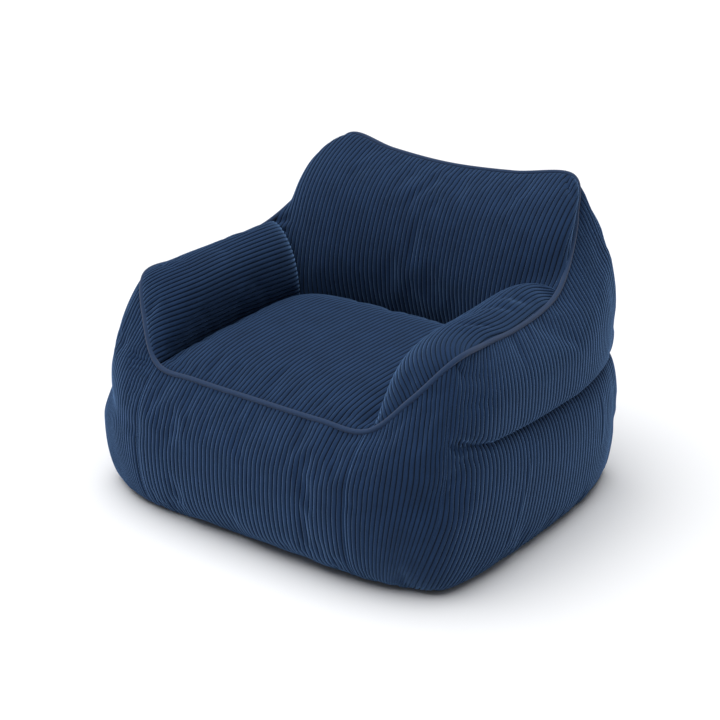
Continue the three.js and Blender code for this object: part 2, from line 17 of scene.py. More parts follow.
import bpy
import numpy as np
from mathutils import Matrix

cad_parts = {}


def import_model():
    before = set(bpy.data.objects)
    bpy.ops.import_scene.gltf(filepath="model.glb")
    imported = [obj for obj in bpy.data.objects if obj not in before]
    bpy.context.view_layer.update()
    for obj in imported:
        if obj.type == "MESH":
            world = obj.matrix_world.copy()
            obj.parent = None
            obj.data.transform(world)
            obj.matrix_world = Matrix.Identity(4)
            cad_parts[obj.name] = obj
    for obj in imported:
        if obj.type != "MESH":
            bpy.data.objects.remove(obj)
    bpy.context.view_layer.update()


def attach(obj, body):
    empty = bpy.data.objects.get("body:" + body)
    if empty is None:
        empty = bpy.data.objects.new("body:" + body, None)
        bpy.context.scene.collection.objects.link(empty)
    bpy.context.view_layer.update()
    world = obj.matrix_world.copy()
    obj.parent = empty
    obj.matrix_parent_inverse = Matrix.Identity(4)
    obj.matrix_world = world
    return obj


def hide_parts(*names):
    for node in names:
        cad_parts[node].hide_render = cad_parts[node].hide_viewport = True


LOG = logging.getLogger("pouf_armchair")

MM = 0.001
FRONT_TO_CENTRE = 334.8
FRONT_CORNER = 2.0
ARM_FRONT = 4.0
ARM_BACK = 8.0
BACK_CORNER = 11.0
LAST_STATION = 13.0
MIRROR = np.array([-1.0, 1.0, 1.0])
PIPING_COLOUR = "223858"
BASE_COLOUR = "1c2a3d"

Points = np.ndarray
Places = tuple[np.ndarray, np.ndarray]
Surface = Callable[[np.ndarray, np.ndarray], Points]


class Edge(Enum):
    """How one edge of a panel is finished."""

    PIPING = "piping"
    SEAM = "seam"
    CREASE = "crease"
    FLOOR = "floor"


@dataclass(frozen=True)
class Table:
    """Rows of named sizes, read as one smooth curve.

    A table that starts or ends on the chair's middle line runs on into its
    own mirror image there.
    """

    columns: tuple[str, ...]
    rows: tuple[tuple[float, ...], ...]
    mirrored_start: bool = False
    mirrored_end: bool = False

    def extended(self) -> np.ndarray:
        """Returns the rows with one more row beyond each end."""
        rows = np.array(self.rows, float)
        flip = np.array([-1.0 if name == "x" else 1.0 for name in self.columns])
        first = rows[1] * flip if self.mirrored_start else 2 * rows[0] - rows[1]
        last = rows[-2] * flip if self.mirrored_end else 2 * rows[-1] - rows[-2]
        return np.vstack([first, rows, last])

    def read(self, place: np.ndarray) -> np.ndarray:
        """Reads the curve.

        Args:
            place: Row numbers, which may be fractional.

        Returns:
            One value for each column, along the last axis.
        """
        rows = self.extended()
        place = np.clip(np.asarray(place, float), 0, len(self.rows) - 1)
        start = np.minimum(place.astype(int), len(self.rows) - 2)
        f = (place - start)[..., None]
        before, here, then, after = (rows[start + k] for k in range(4))
        linear = (then - before) * f
        square = (2 * before - 5 * here + 4 * then - after) * f**2
        cube = (3 * here - before - 3 * then + after) * f**3
        return 0.5 * (2 * here + linear + square + cube)

    def column(self, name: str) -> np.ndarray:
        """Returns one column of the rows as they stand."""
        return np.array(self.rows, float)[:, self.columns.index(name)]


# Centre line of the piping from the middle of the lip, over an arm, to the
# middle of the back
PIPING = Table(
    ("x", "y", "z"),
    (
        (0, -8, 290),
        (150, -7, 290),
        (257, 0, 294),
        (325, 38, 360),
        (377, 94, 428),
        (380, 190, 432),
        (380, 275, 430),
        (375, 380, 436),
        (364, 460, 452),
        (342, 535, 497),
        (314, 600, 560),
        (277, 640, 624),
        (150, 625, 612),
        (0, 617, 606),
    ),
    mirrored_start=True,
    mirrored_end=True,
)

# The widest line round the chair at the same stations, with what each station's
# column does below and above it
BELLY = Table(
    ("x", "y", "z", "foot_in", "lean", "shoulder_in", "shoulder_z", "upper_power", "settle"),
    (
        (0, -72, 150, 66, 0, 2, 180, 2.2, 0),
        (150, -71, 150, 66, 0, 2, 180, 2.2, 8),
        (257, -66, 150, 66, 0, 3, 185, 2.1, 14),
        (353, -36, 145, 56, -0.35, 8, 200, 1.9, 13),
        (426, 14, 142, 50, -0.85, 20, 225, 1.9, 7),
        (447, 120, 155, 40, -0.62, 12, 315, 2.1, 2),
        (450, 240, 165, 36, -0.45, 10, 330, 2.1, 0),
        (449, 350, 165, 34, -0.3, 10, 332, 2.1, 0),
        (444, 440, 170, 32, -0.15, 8, 335, 2.2, 0),
        (435, 520, 175, 30, 0, 9, 335, 2.2, 0),
        (413, 607, 180, 30, 0, 12, 338, 2.2, 0),
        (370, 680, 185, 32, 0, 14, 340, 2.3, 0),
        (190, 731, 185, 40, 0, 12, 350, 2.3, 0),
        (0, 742, 185, 44, 0, 12, 355, 2.3, 0),
    ),
    mirrored_start=True,
    mirrored_end=True,
)

# Crease between the seat and the right arm, from front to back
ARM_CREASE = Table(
    ("x", "y", "z"),
    (
        (257, 0, 294),
        (264, 110, 300),
        (270, 250, 304),
        (266, 360, 305),
        (255, 436, 302),
    ),
)

# Crease between the seat and the inner back, from the right arm to the middle
BACK_CREASE = Table(
    ("x", "y", "z"),
    ((255, 436, 302), (200, 474, 296), (110, 498, 290), (0, 508, 288)),
    mirrored_end=True,
)

# Seam between the right arm and the inner back, upwards
ARM_BACK_SEAM = Table(
    ("x", "y", "z"),
    (
        (255, 436, 302),
        (278, 441, 338),
        (308, 449, 378),
        (336, 457, 417),
        (354, 460, 445),
        (364, 460, 452),
    ),
)

# The settled fold round the sides and back
FOLD = Table(
    ("station", "height", "depth"),
    (
        (3.9, 300, 0),
        (4.3, 292, 6),
        (5, 272, 14),
        (6, 266, 22),
        (7, 264, 26),
        (8, 263, 26),
        (9, 266, 22),
        (10, 270, 13),
        (11, 280, 10),
        (12, 288, 8),
        (13, 288, 8),
    ),
)


def belly_value(points: np.ndarray, name: str) -> np.ndarray:
    """Returns one named column of values read from the belly's table."""
    return points[..., BELLY.columns.index(name)]


def mirrored(points: np.ndarray) -> np.ndarray:
    """Returns the points on the other side of the chair."""
    return points * MIRROR


@dataclass(frozen=True)
class ChairForm:
    """The filled form of the chair, as smooth surfaces.

    Every surface takes arrays of shares or stations and returns points in
    millimetres along a last axis of three.
    """

    belly_share: float = 0.34
    shoulder_share: float = 0.60
    lower_power: float = 2.2
    lean_height: float = 240.0
    lean_power: float = 1.2
    fold_above: float = 16.0
    fold_below: float = 34.0
    fold_overhang: float = 12.0
    fold_crease: float = 9.0
    fold_crease_reach: float = 5.0
    fold_full_depth: float = 26.0
    seat_crown: float = 42.0
    arm_low_bulge: tuple[float, float, float] = (-96, 0, 60)
    arm_high_bulge: tuple[float, float, float] = (-72, 0, 87)
    back_crown: float = 50.0
    back_crown_way: tuple[float, float, float] = (0, -0.88, 0.47)
    back_side_bulge: float = 50.0
    back_side_start: float = -0.75
    back_side_rise: float = 2.1
    back_seam_share: float = 0.36
    back_pinch_share: float = 0.17
    rim_pull: tuple[float, float, float] = (384, 497, 484)

    def piping(self, station: np.ndarray) -> Points:
        """Returns the piping's centre line at signed stations."""
        station = np.asarray(station, float)
        points = PIPING.read(np.abs(station))
        points[..., 0] *= np.where(station < 0, -1.0, 1.0)
        return points

    def crease(self, share: np.ndarray) -> Points:
        """Returns the crease between the seat and the right arm."""
        return ARM_CREASE.read(np.asarray(share, float) * 4)

    def seam(self, share: np.ndarray) -> Points:
        """Returns the seam between the right arm and the inner back."""
        return ARM_BACK_SEAM.read(np.asarray(share, float) * 5)

    def back_crease(self, across: np.ndarray) -> Points:
        """Returns the crease between the seat and the inner back."""
        across = np.asarray(across, float)
        points = BACK_CREASE.read((1 - np.abs(across)) * 3)
        points[..., 0] *= np.sign(across)
        return points

    def outward(self, station: np.ndarray) -> np.ndarray:
        """Returns the level unit vectors that point out of the belly line."""
        step = 1e-3
        after = BELLY.read(np.clip(station + step, 0, LAST_STATION))
        before = BELLY.read(np.clip(station - step, 0, LAST_STATION))
        way = (after - before)[..., :2]
        way /= np.linalg.norm(way, axis=-1, keepdims=True)
        return np.stack([way[..., 1], -way[..., 0]], -1)

    def _column_heights(
        self, belly: np.ndarray, edge_z: np.ndarray, share: np.ndarray
    ) -> np.ndarray:
        """Returns how high each share of an outside column stands."""
        turn = np.clip(share / self.belly_share, 0, 1) * (math.pi / 2)
        span = self.shoulder_share - self.belly_share
        middle = np.clip((share - self.belly_share) / span, 0, 1)
        upper = np.clip((share - self.shoulder_share) / (1 - self.shoulder_share), 0, 1)
        belly_z = belly_value(belly, "z")
        shoulder_z = belly_value(belly, "shoulder_z")
        low = belly_z * (1 - np.maximum(np.cos(turn), 0) ** (2 / self.lower_power))
        mid = belly_z + (shoulder_z - belly_z) * middle
        high = shoulder_z + (edge_z - shoulder_z) * upper
        return np.where(
            share <= self.belly_share,
            low,
            np.where(share <= self.shoulder_share, mid, high),
        )

    def outside(self, signed_station: np.ndarray, share: np.ndarray) -> Points:
        """Surface of the front, sides and back.

        Args:
            signed_station: Station round the chair, negative on the left.
            share: 0 at the foot and 1 at the piping.

        Returns:
            Points on the outside.
        """
        signed_station, share = np.broadcast_arrays(
            np.asarray(signed_station, float), np.asarray(share, float)
        )
        side = np.where(signed_station < 0, -1.0, 1.0)
        station = np.abs(signed_station)
        straight = BELLY.read(station)
        edge = PIPING.read(station)
        height = self._column_heights(straight, edge[..., 2], share)
        low = np.clip(1 - height / self.lean_height, 0, 1) ** self.lean_power
        leaned = station + belly_value(straight, "lean") * low
        belly = BELLY.read(leaned)
        edge = PIPING.read(leaned)
        outward = self.outward(leaned)
        z = self._column_heights(belly, edge[..., 2], share)
        turn = np.clip(share / self.belly_share, 0, 1) * (math.pi / 2)
        span = self.shoulder_share - self.belly_share
        middle = np.clip((share - self.belly_share) / span, 0, 1)[..., None]
        upper = np.clip((share - self.shoulder_share) / (1 - self.shoulder_share), 0, 1)
        widest = belly[..., :2]
        settle = side * belly_value(belly, "settle")
        foot_in = belly_value(belly, "foot_in") + settle
        foot = widest - outward * foot_in[..., None]
        shoulder_in = belly_value(belly, "shoulder_in")[..., None]
        shoulder = widest - outward * shoulder_in
        round_out = (np.sin(turn) ** (2 / self.lower_power))[..., None]
        ease = middle * middle * (3 - 2 * middle)
        power = belly_value(belly, "upper_power")
        plan_low = foot + (widest - foot) * round_out
        plan_mid = widest + (shoulder - widest) * ease
        plan_high = shoulder + (edge[..., :2] - shoulder) * (upper**power)[..., None]
        is_low = (share <= self.belly_share)[..., None]
        is_mid = (share <= self.shoulder_share)[..., None]
        plan = np.where(is_low, plan_low, np.where(is_mid, plan_mid, plan_high))
        fold_z = np.interp(leaned, FOLD.column("station"), FOLD.column("height"))
        depth = np.interp(leaned, FOLD.column("station"), FOLD.column("depth"))
        above = z - fold_z
        reach = np.where(above > 0, self.fold_above, self.fold_below)
        pull = depth * np.exp(-np.abs(above) / reach)
        crease = np.exp(-np.abs(above) / self.fold_crease_reach) * depth / self.fold_full_depth
        pull = pull + self.fold_crease * crease
        plan = plan - outward * pull[..., None]
        hang = np.clip(above, 0, None) / self.fold_above
        droop = hang * np.exp(1 - hang) * (depth / self.fold_full_depth)
        z = z - self.fold_overhang * droop
        return np.stack([side * plan[..., 0], plan[..., 1], z], -1)

    def _patch(
        self,
        low: Callable[[np.ndarray], Points],
        high: Callable[[np.ndarray], Points],
        left: Callable[[np.ndarray], Points],
        right: Callable[[np.ndarray], Points],
        s: np.ndarray,
        t: np.ndarray,
    ) -> Points:
        """Spans a surface between four edge curves.

        Args:
            low: Edge at t = 0, a function of s.
            high: Edge at t = 1.
            left: Edge at s = 0, a function of t.
            right: Edge at s = 1.
            s: Shares across.
            t: Shares along.

        Returns:
            Points of the surface.
        """
        zero, one = np.zeros(1), np.ones(1)
        sc, tc = s[..., None], t[..., None]
        points = low(s) * (1 - tc) + high(s) * tc
        points = points + left(t) * (1 - sc) + right(t) * sc
        points = points - low(zero) * (1 - sc) * (1 - tc) - low(one) * sc * (1 - tc)
        return points - high(zero) * (1 - sc) * tc - high(one) * sc * tc

    def seat(self, across: np.ndarray, along: np.ndarray) -> Points:
        """Returns the seat: across from -1 to 1, along from the lip back."""
        across, along = np.broadcast_arrays(across, along)
        points = self._patch(
            lambda s: self.piping((2 * s - 1) * FRONT_CORNER),
            lambda s: self.back_crease(2 * s - 1),
            lambda t: mirrored(self.crease(t)),
            self.crease,
            (across + 1) / 2,
            along,
        )
        lengthwise = np.clip(1 - np.abs(2 * along - 1) ** 3, 0, 1) ** 0.75
        lift = (1 - np.abs(across) ** 5) * lengthwise * (0.8 + 0.4 * along)
        points[..., 2] += self.seat_crown * lift
        return points

    def arm(self, out: np.ndarray, along: np.ndarray) -> Points:
        """Returns the right arm: out from the crease to the piping."""
        out, along = np.broadcast_arrays(out, along)
        points = self._patch(
            lambda s: self.piping(FRONT_CORNER + 2 * s),
            self.seam,
            self.crease,
            lambda t: self.piping(ARM_FRONT + 4 * t),
            out,
            along,
        )
        ends = np.clip(1 - np.abs(2 * along - 1) ** 4, 0, 1) ** 0.6
        low = (3 * out * (1 - out) ** 2 * ends)[..., None]
        high = (3 * out**2 * (1 - out) * ends)[..., None]
        points = points + low * np.array(self.arm_low_bulge)
        return points + high * np.array(self.arm_high_bulge)

    def back_rim(self, up: np.ndarray) -> Points:
        """Returns the inner back's right side: the arm's seam, then piping."""
        share = self.back_seam_share
        seam = self.seam(np.clip(up / share, 0, 1))
        climb = np.clip((up - share) / (1 - share), 0, 1)
        piping = self.piping(ARM_BACK + 3 * climb)
        return np.where((up <= share)[..., None], seam, piping)

    def soft_rim(self, up: np.ndarray) -> Points:
        """Returns the same side as the filling rounds it off."""
        up = np.asarray(up, float)[..., None]
        start = self.crease(np.ones(1)) * (1 - up) ** 2
        end = self.piping(np.array([BACK_CORNER])) * up**2
        return start + end + np.array(self.rim_pull) * 2 * up * (1 - up)

    def back(self, across: np.ndarray, up: np.ndarray) -> Points:
        """Returns the inner back: across from -1 to 1, up from the crease."""
        across, up = np.broadcast_arrays(
            np.asarray(across, float), np.asarray(up, float)
        )

        def top(s: np.ndarray) -> Points:
            a = 2 * s - 1
            points = self.piping(LAST_STATION - 2 * np.abs(a))
            points[..., 0] *= np.sign(a)
            return points

        points = self._patch(
            lambda s: self.back_crease(2 * s - 1),
            top,
            lambda t: mirrored(self.soft_rim(t)),
            self.soft_rim,
            (across + 1) / 2,
            up,
        )
        corner = self.back_rim(up) - self.soft_rim(up)
        corner = corner * (np.abs(across) ** 10)[..., None]
        corner[..., 0] *= np.sign(across)
        lengthwise = np.clip(1 - np.abs(2 * up - 1) ** 3, 0, 1) ** 0.8
        above_seam = np.maximum(up - self.back_seam_share, 0) / self.back_pinch_share
        pinch = 1 - np.exp(-(above_seam**2)) * np.abs(across) ** 6
        swell = np.sqrt(1 - np.abs(across) ** 6) * lengthwise * pinch
        crown = self.back_crown * swell
        points = points + corner + crown[..., None] * np.array(self.back_crown_way)
        rise = self.back_side_start + self.back_side_rise * up
        beside = 1.5 * across**2 * (1 - across**12) * lengthwise * pinch * rise
        points[..., 0] += np.sign(across) * self.back_side_bulge * beside
        return points


@dataclass(frozen=True)
class Corduroy:
    """The cloth's ribs: how high and how round they are."""

    height: float = 2.8
    mean_level: float = 0.6
    roundness: float = 2.2
    least_gap: float = 0.04
    samples: tuple[float, ...] = (0.0, 0.07, 0.16, 0.28, 0.42, 0.58, 0.72, 0.84, 0.93)

    def rib(self, wale: np.ndarray) -> np.ndarray:
        """Returns how far up a rib each place is, from 0 in a groove to 1."""
        across = np.abs(2 * (wale - np.floor(wale)) - 1)
        return np.clip(1 - across**self.roundness, 0, 1) ** (1 / self.roundness)

    def columns(self, first: float, last: float) -> np.ndarray:
        """Returns the places across a panel where its skin has columns.

        Args:
            first: Wale at one edge of the panel.
            last: Wale at the other edge.

        Returns:
            Wale numbers, denser in the grooves.
        """
        whole = np.arange(math.floor(first), math.ceil(last) + 1)
        places = (whole[:, None] + np.array(self.samples)).ravel()
        inside = places[
            (places > first + self.least_gap) & (places < last - self.least_gap)
        ]
        return np.concatenate([[first], inside, [last]])


@dataclass(frozen=True)
class Tuck:
    """A soft trough pressed into a panel, along a straight stretch of it.

    Places are (wale, share along the wale), depth and width are millimetres,
    and a negative depth is a swelling.
    """

    start: tuple[float, float]
    end: tuple[float, float]
    depth: float
    width: float


SIDE_RIGHT_TUCKS = (
    Tuck((0.4, 0.985), (3.4, 0.945), 6.0, 4.0),
    Tuck((0.6, 0.96), (10.5, 0.86), 5.0, 9.0),
    Tuck((2.5, 0.85), (12.0, 0.70), 4.5, 10.0),
    Tuck((1.0, 0.725), (12.0, 0.505), 4.5, 6.5),
    Tuck((1.0, 0.665), (9.0, 0.50), 2.8, 6.0),
    Tuck((22.5, 0.42), (19.0, 0.17), -2.0, 6.0),
    Tuck((49.0, 0.44), (48.5, 0.27), -2.5, 9.0),
)
SIDE_LEFT_TUCKS = (
    Tuck((60.0, 0.95), (53.0, 0.88), 5.0, 9.0),
    Tuck((59.0, 0.83), (51.0, 0.70), 4.0, 10.0),
    Tuck((62.0, 0.70), (51.5, 0.50), 6.0, 6.0),
    Tuck((38.0, 0.40), (40.0, 0.18), -2.0, 7.0),
)
CORNER_RIGHT_TUCKS = (
    Tuck((13.6, 0.975), (18.3, 0.915), 4.5, 7.0),
    Tuck((13.2, 0.93), (18.2, 0.865), 4.5, 7.0),
    Tuck((6.0, 0.90), (10.0, 0.96), 2.5, 8.0),
)
CORNER_LEFT_TUCKS = (
    Tuck((9.0, 0.855), (17.6, 0.965), 5.5, 5.0),
    Tuck((10.5, 0.83), (18.2, 0.93), 4.0, 5.0),
    Tuck((4.0, 0.80), (8.0, 0.86), 2.5, 8.0),
)
ARM_RIGHT_TUCKS = (
    Tuck((18.5, 0.50), (24.5, 0.62), 3.0, 8.0),
    Tuck((19.0, 0.62), (25.0, 0.74), 3.0, 8.0),
    Tuck((20.0, 0.28), (25.0, 0.38), 2.5, 9.0),
)
ARM_LEFT_TUCKS = (
    Tuck((-25.0, 0.10), (-19.0, 0.16), 3.0, 7.0),
    Tuck((-24.5, 0.20), (-19.5, 0.24), 2.5, 7.0),
    Tuck((-25.0, 0.55), (-20.0, 0.62), 2.0, 10.0),
)
BACK_TUCKS = (
    Tuck((25.8, 0.99), (29.2, 0.90), 7.0, 4.0),
    Tuck((27.2, 0.965), (31.0, 0.88), 4.0, 5.0),
    Tuck((-34.5, 0.20), (-30.5, 0.36), 5.0, 7.0),
    Tuck((-33.5, 0.10), (-30.0, 0.26), 3.5, 6.0),
    Tuck((29.5, 0.30), (24.0, 0.62), 2.5, 14.0),
    Tuck((-12.0, 0.90), (8.0, 0.86), 2.0, 14.0),
)
OUTER_BACK_TUCKS = (
    Tuck((2.0, 0.60), (14.0, 0.57), 4.0, 8.0),
    Tuck((56.0, 0.60), (68.0, 0.585), 4.0, 8.0),
    Tuck((30.0, 0.30), (38.0, 0.28), 2.0, 14.0),
)


@dataclass
class Panel:
    """One sewn panel: its surface, its ribs and its edges.

    The chart turns (wale, share) arrays into places on the form, and the form
    turns those into points. Share runs along the ribs, and its two ends come
    first in the edges, then the first and the last wale.
    """

    node: str
    chart: Callable[[np.ndarray, np.ndarray], Places]
    form: Surface
    limits: tuple[tuple[float, float], tuple[float, float]]
    wales: tuple[float, float]
    pitch: float
    edges: tuple[Edge, Edge, Edge, Edge]
    tucks: tuple[Tuck, ...] = ()
    row_step: float = 8.0
    coarse_step: float = 15.0
    slope_step: float = 2e-3
    shares: np.ndarray = field(init=False)
    length: float = field(init=False)
    pressed: np.ndarray | None = None

    def __post_init__(self) -> None:
        """Spaces the rows evenly along the panel's longest rib."""
        fine = np.linspace(0, 1, 500)
        middle = 0.5 * (self.wales[0] + self.wales[1])
        points = self.surface(np.full_like(fine, middle), fine)
        steps = np.linalg.norm(np.diff(points, axis=0), axis=1)
        along = np.concatenate([[0], np.cumsum(steps)])
        self.length = float(along[-1])
        count = max(12, round(self.length / self.row_step))
        even = np.linspace(0, self.length, count + 1)
        self.shares = np.interp(even, along, fine)

    def coarse_axes(self) -> Places:
        """Returns the wales and shares of the coarse cloth."""
        width = (self.wales[1] - self.wales[0]) * self.pitch
        across = np.linspace(*self.wales, max(6, round(width / self.coarse_step)) + 1)
        rows = max(6, round(self.length / self.coarse_step)) + 1
        along = np.interp(
            np.linspace(0, 1, rows), np.linspace(0, 1, len(self.shares)), self.shares
        )
        return across, along

    def surface(self, wale: np.ndarray, share: np.ndarray) -> Points:
        """Returns points of the panel."""
        return self.form(*self.chart(wale, share))

    def grid(self, wales: np.ndarray, shares: np.ndarray) -> Points:
        """Returns the surface over a grid, as rows along by columns across."""
        return self.surface(wales[None, :], shares[:, None])

    def normals(self, wales: np.ndarray, shares: np.ndarray) -> np.ndarray:
        """Returns the form's unit normals over the same grid."""
        first, second = self.chart(wales[None, :], shares[:, None])
        ways = []
        for axis in range(2):
            low, high = self.limits[axis]
            step = (high - low) * self.slope_step
            ends = []
            for sign in (-1, 1):
                place = [first, second]
                place[axis] = np.clip(place[axis] + sign * step, low, high)
                ends.append(self.form(*place))
            ways.append(ends[1] - ends[0])
        normals = np.cross(*ways)
        size = np.linalg.norm(normals, axis=-1, keepdims=True)
        return normals / np.maximum(size, 1e-9)


def smooth_weights(fine: np.ndarray, coarse: np.ndarray) -> np.ndarray:
    """Weights that read a coarse row of values smoothly at finer places.

    Args:
        fine: Places to read at.
        coarse: Rising places of the known values.

    Returns:
        A matrix of fine rows by coarse columns.
    """
    last = len(coarse) - 1
    place = np.interp(fine, coarse, np.arange(len(coarse)))
    start = np.minimum(place.astype(int), last - 1)
    f = place - start
    shares = (
        0.5 * (-f + 2 * f**2 - f**3),
        0.5 * (2 - 5 * f**2 + 3 * f**3),
        0.5 * (f + 4 * f**2 - 3 * f**3),
        0.5 * (-(f**2) + f**3),
    )
    weights = np.zeros((len(fine), len(coarse)))
    rows = np.arange(len(fine))
    for offset, share in zip((-1, 0, 1, 2), shares):
        np.add.at(weights, (rows, np.clip(start + offset, 0, last)), share)
    return weights


def grid_faces(rows: int, columns: int, first: int = 0) -> np.ndarray:
    """Returns the four corners of each cell of a grid of vertices."""
    index = first + np.arange(rows * columns).reshape(rows, columns)
    corners = (index[:-1, :-1], index[:-1, 1:], index[1:, 1:], index[1:, :-1])
    return np.stack(corners, -1).reshape(-1, 4)


def to_metres(points: Points) -> np.ndarray:
    """Returns form points as metres in the chair's own frame."""
    return (points - np.array([0, FRONT_TO_CENTRE, 0])) * MM


def new_mesh(name: str, points: np.ndarray, faces: np.ndarray) -> bpy.types.Object:
    """Makes a smooth-shaded mesh object.

    Args:
        name: Name of the object.
        points: Vertices in metres.
        faces: Vertex numbers, four to a face.

    Returns:
        The linked object.
    """
    mesh = bpy.data.meshes.new(name)
    mesh.vertices.add(len(points))
    mesh.vertices.foreach_set("co", points.astype(np.float32).ravel())
    mesh.loops.add(faces.size)
    mesh.loops.foreach_set("vertex_index", faces.astype(np.int32).ravel())
    mesh.polygons.add(len(faces))
    starts = np.arange(0, faces.size, faces.shape[1], dtype=np.int32)
    mesh.polygons.foreach_set("loop_start", starts)
    mesh.update(calc_edges=True)
    mesh.validate()
    mesh.polygons.foreach_set("use_smooth", np.ones(len(mesh.polygons), bool))
    obj = bpy.data.objects.new(name, mesh)
    bpy.context.scene.collection.objects.link(obj)
    return obj


@dataclass
class Filling:
    """Swells the coarse cloth of all panels with one cloth simulation.

    The panels are pinned along their seams, and their cloth is cut a little
    larger than the form, so it wrinkles softly as the filling presses it out.
    The movement is kept within a limit, and places nearer to each other than
    the weld are one; both are millimetres.
    """

    frames: int = 20
    pressure: float = 1.2
    spare_cloth: float = 0.012
    limit: float = 4.0
    weld: float = 0.8
    panel_apart: int = 10**6

    def press(self, panels: list[Panel]) -> None:
        """Works out how far the filling moves each panel's coarse cloth.

        Args:
            panels: The panels, each of which gets its movement stored.
        """
        points, faces, pins, spans = [], [], [], []
        total = 0
        for panel in panels:
            across, along = panel.coarse_axes()
            grid = panel.grid(across, along)
            rows, columns = grid.shape[:2]
            pinned = np.zeros((rows, columns), bool)
            pinned[[0, -1], :] = True
            pinned[:, [0, -1]] = True
            points.append(grid.reshape(-1, 3))
            faces.append(grid_faces(rows, columns, total))
            pins.append(pinned.ravel())
            spans.append((total, rows, columns))
            total += rows * columns
        start = to_metres(np.concatenate(points))
        # Where wales run together the grid has no width, and cloth can't hang on
        # springs without length, so those places become one
        places = np.round(start / (self.weld * MM)).astype(int)
        owners = np.repeat(np.arange(len(spans)), [r * c for _, r, c in spans])
        places[:, 0] += owners * self.panel_apart
        _, first_at, one_of = np.unique(
            places, axis=0, return_index=True, return_inverse=True
        )
        one_of = one_of.ravel()
        quads = one_of[np.concatenate(faces)]
        ordered = np.sort(quads, axis=1)
        quads = quads[(np.diff(ordered, axis=1) > 0).all(axis=1)]
        held = np.zeros(len(first_at), bool)
        np.logical_or.at(held, one_of, np.concatenate(pins))
        obj = new_mesh("coarse_cloth", start[first_at], quads)
        moved = self._simulate(obj, np.flatnonzero(held), len(first_at))
        bpy.data.objects.remove(obj)
        shift = ((moved - start[first_at]) / MM)[one_of]
        size = np.linalg.norm(shift, axis=1, keepdims=True)
        shift *= np.tanh(size / self.limit) * self.limit / np.maximum(size, 1e-9)
        for panel, (first, rows, columns) in zip(panels, spans):
            part = shift[first : first + rows * columns]
            panel.pressed = part.reshape(rows, columns, 3)
        LOG.info("cloth moved by %.1f mm on average", float(size.mean()))

    def _simulate(
        self, obj: bpy.types.Object, pinned: np.ndarray, count: int
    ) -> np.ndarray:
        """Runs the cloth simulation and returns the vertices it ends with."""
        group = obj.vertex_groups.new(name="seams")
        group.add(pinned.tolist(), 1.0, "REPLACE")
        cloth = obj.modifiers.new("cloth", "CLOTH")
        settings = cloth.settings
        settings.quality = 6
        settings.mass = 0.3
        settings.tension_stiffness = 25
        settings.compression_stiffness = 25
        settings.shear_stiffness = 8
        settings.bending_stiffness = 0.6
        settings.air_damping = 4
        settings.use_pressure = True
        settings.uniform_pressure_force = self.pressure
        settings.shrink_min = -self.spare_cloth
        settings.vertex_group_mass = "seams"
        settings.effector_weights.gravity = 0
        cloth.collision_settings.use_collision = False
        cloth.point_cache.frame_start = 1
        cloth.point_cache.frame_end = self.frames
        scene = bpy.context.scene
        for frame in range(1, self.frames + 1):
            scene.frame_set(frame)
        evaluated = obj.evaluated_get(bpy.context.evaluated_depsgraph_get())
        moved = np.empty(count * 3, np.float32)
        evaluated.data.vertices.foreach_get("co", moved)
        scene.frame_set(1)
        return moved.reshape(-1, 3).astype(float)


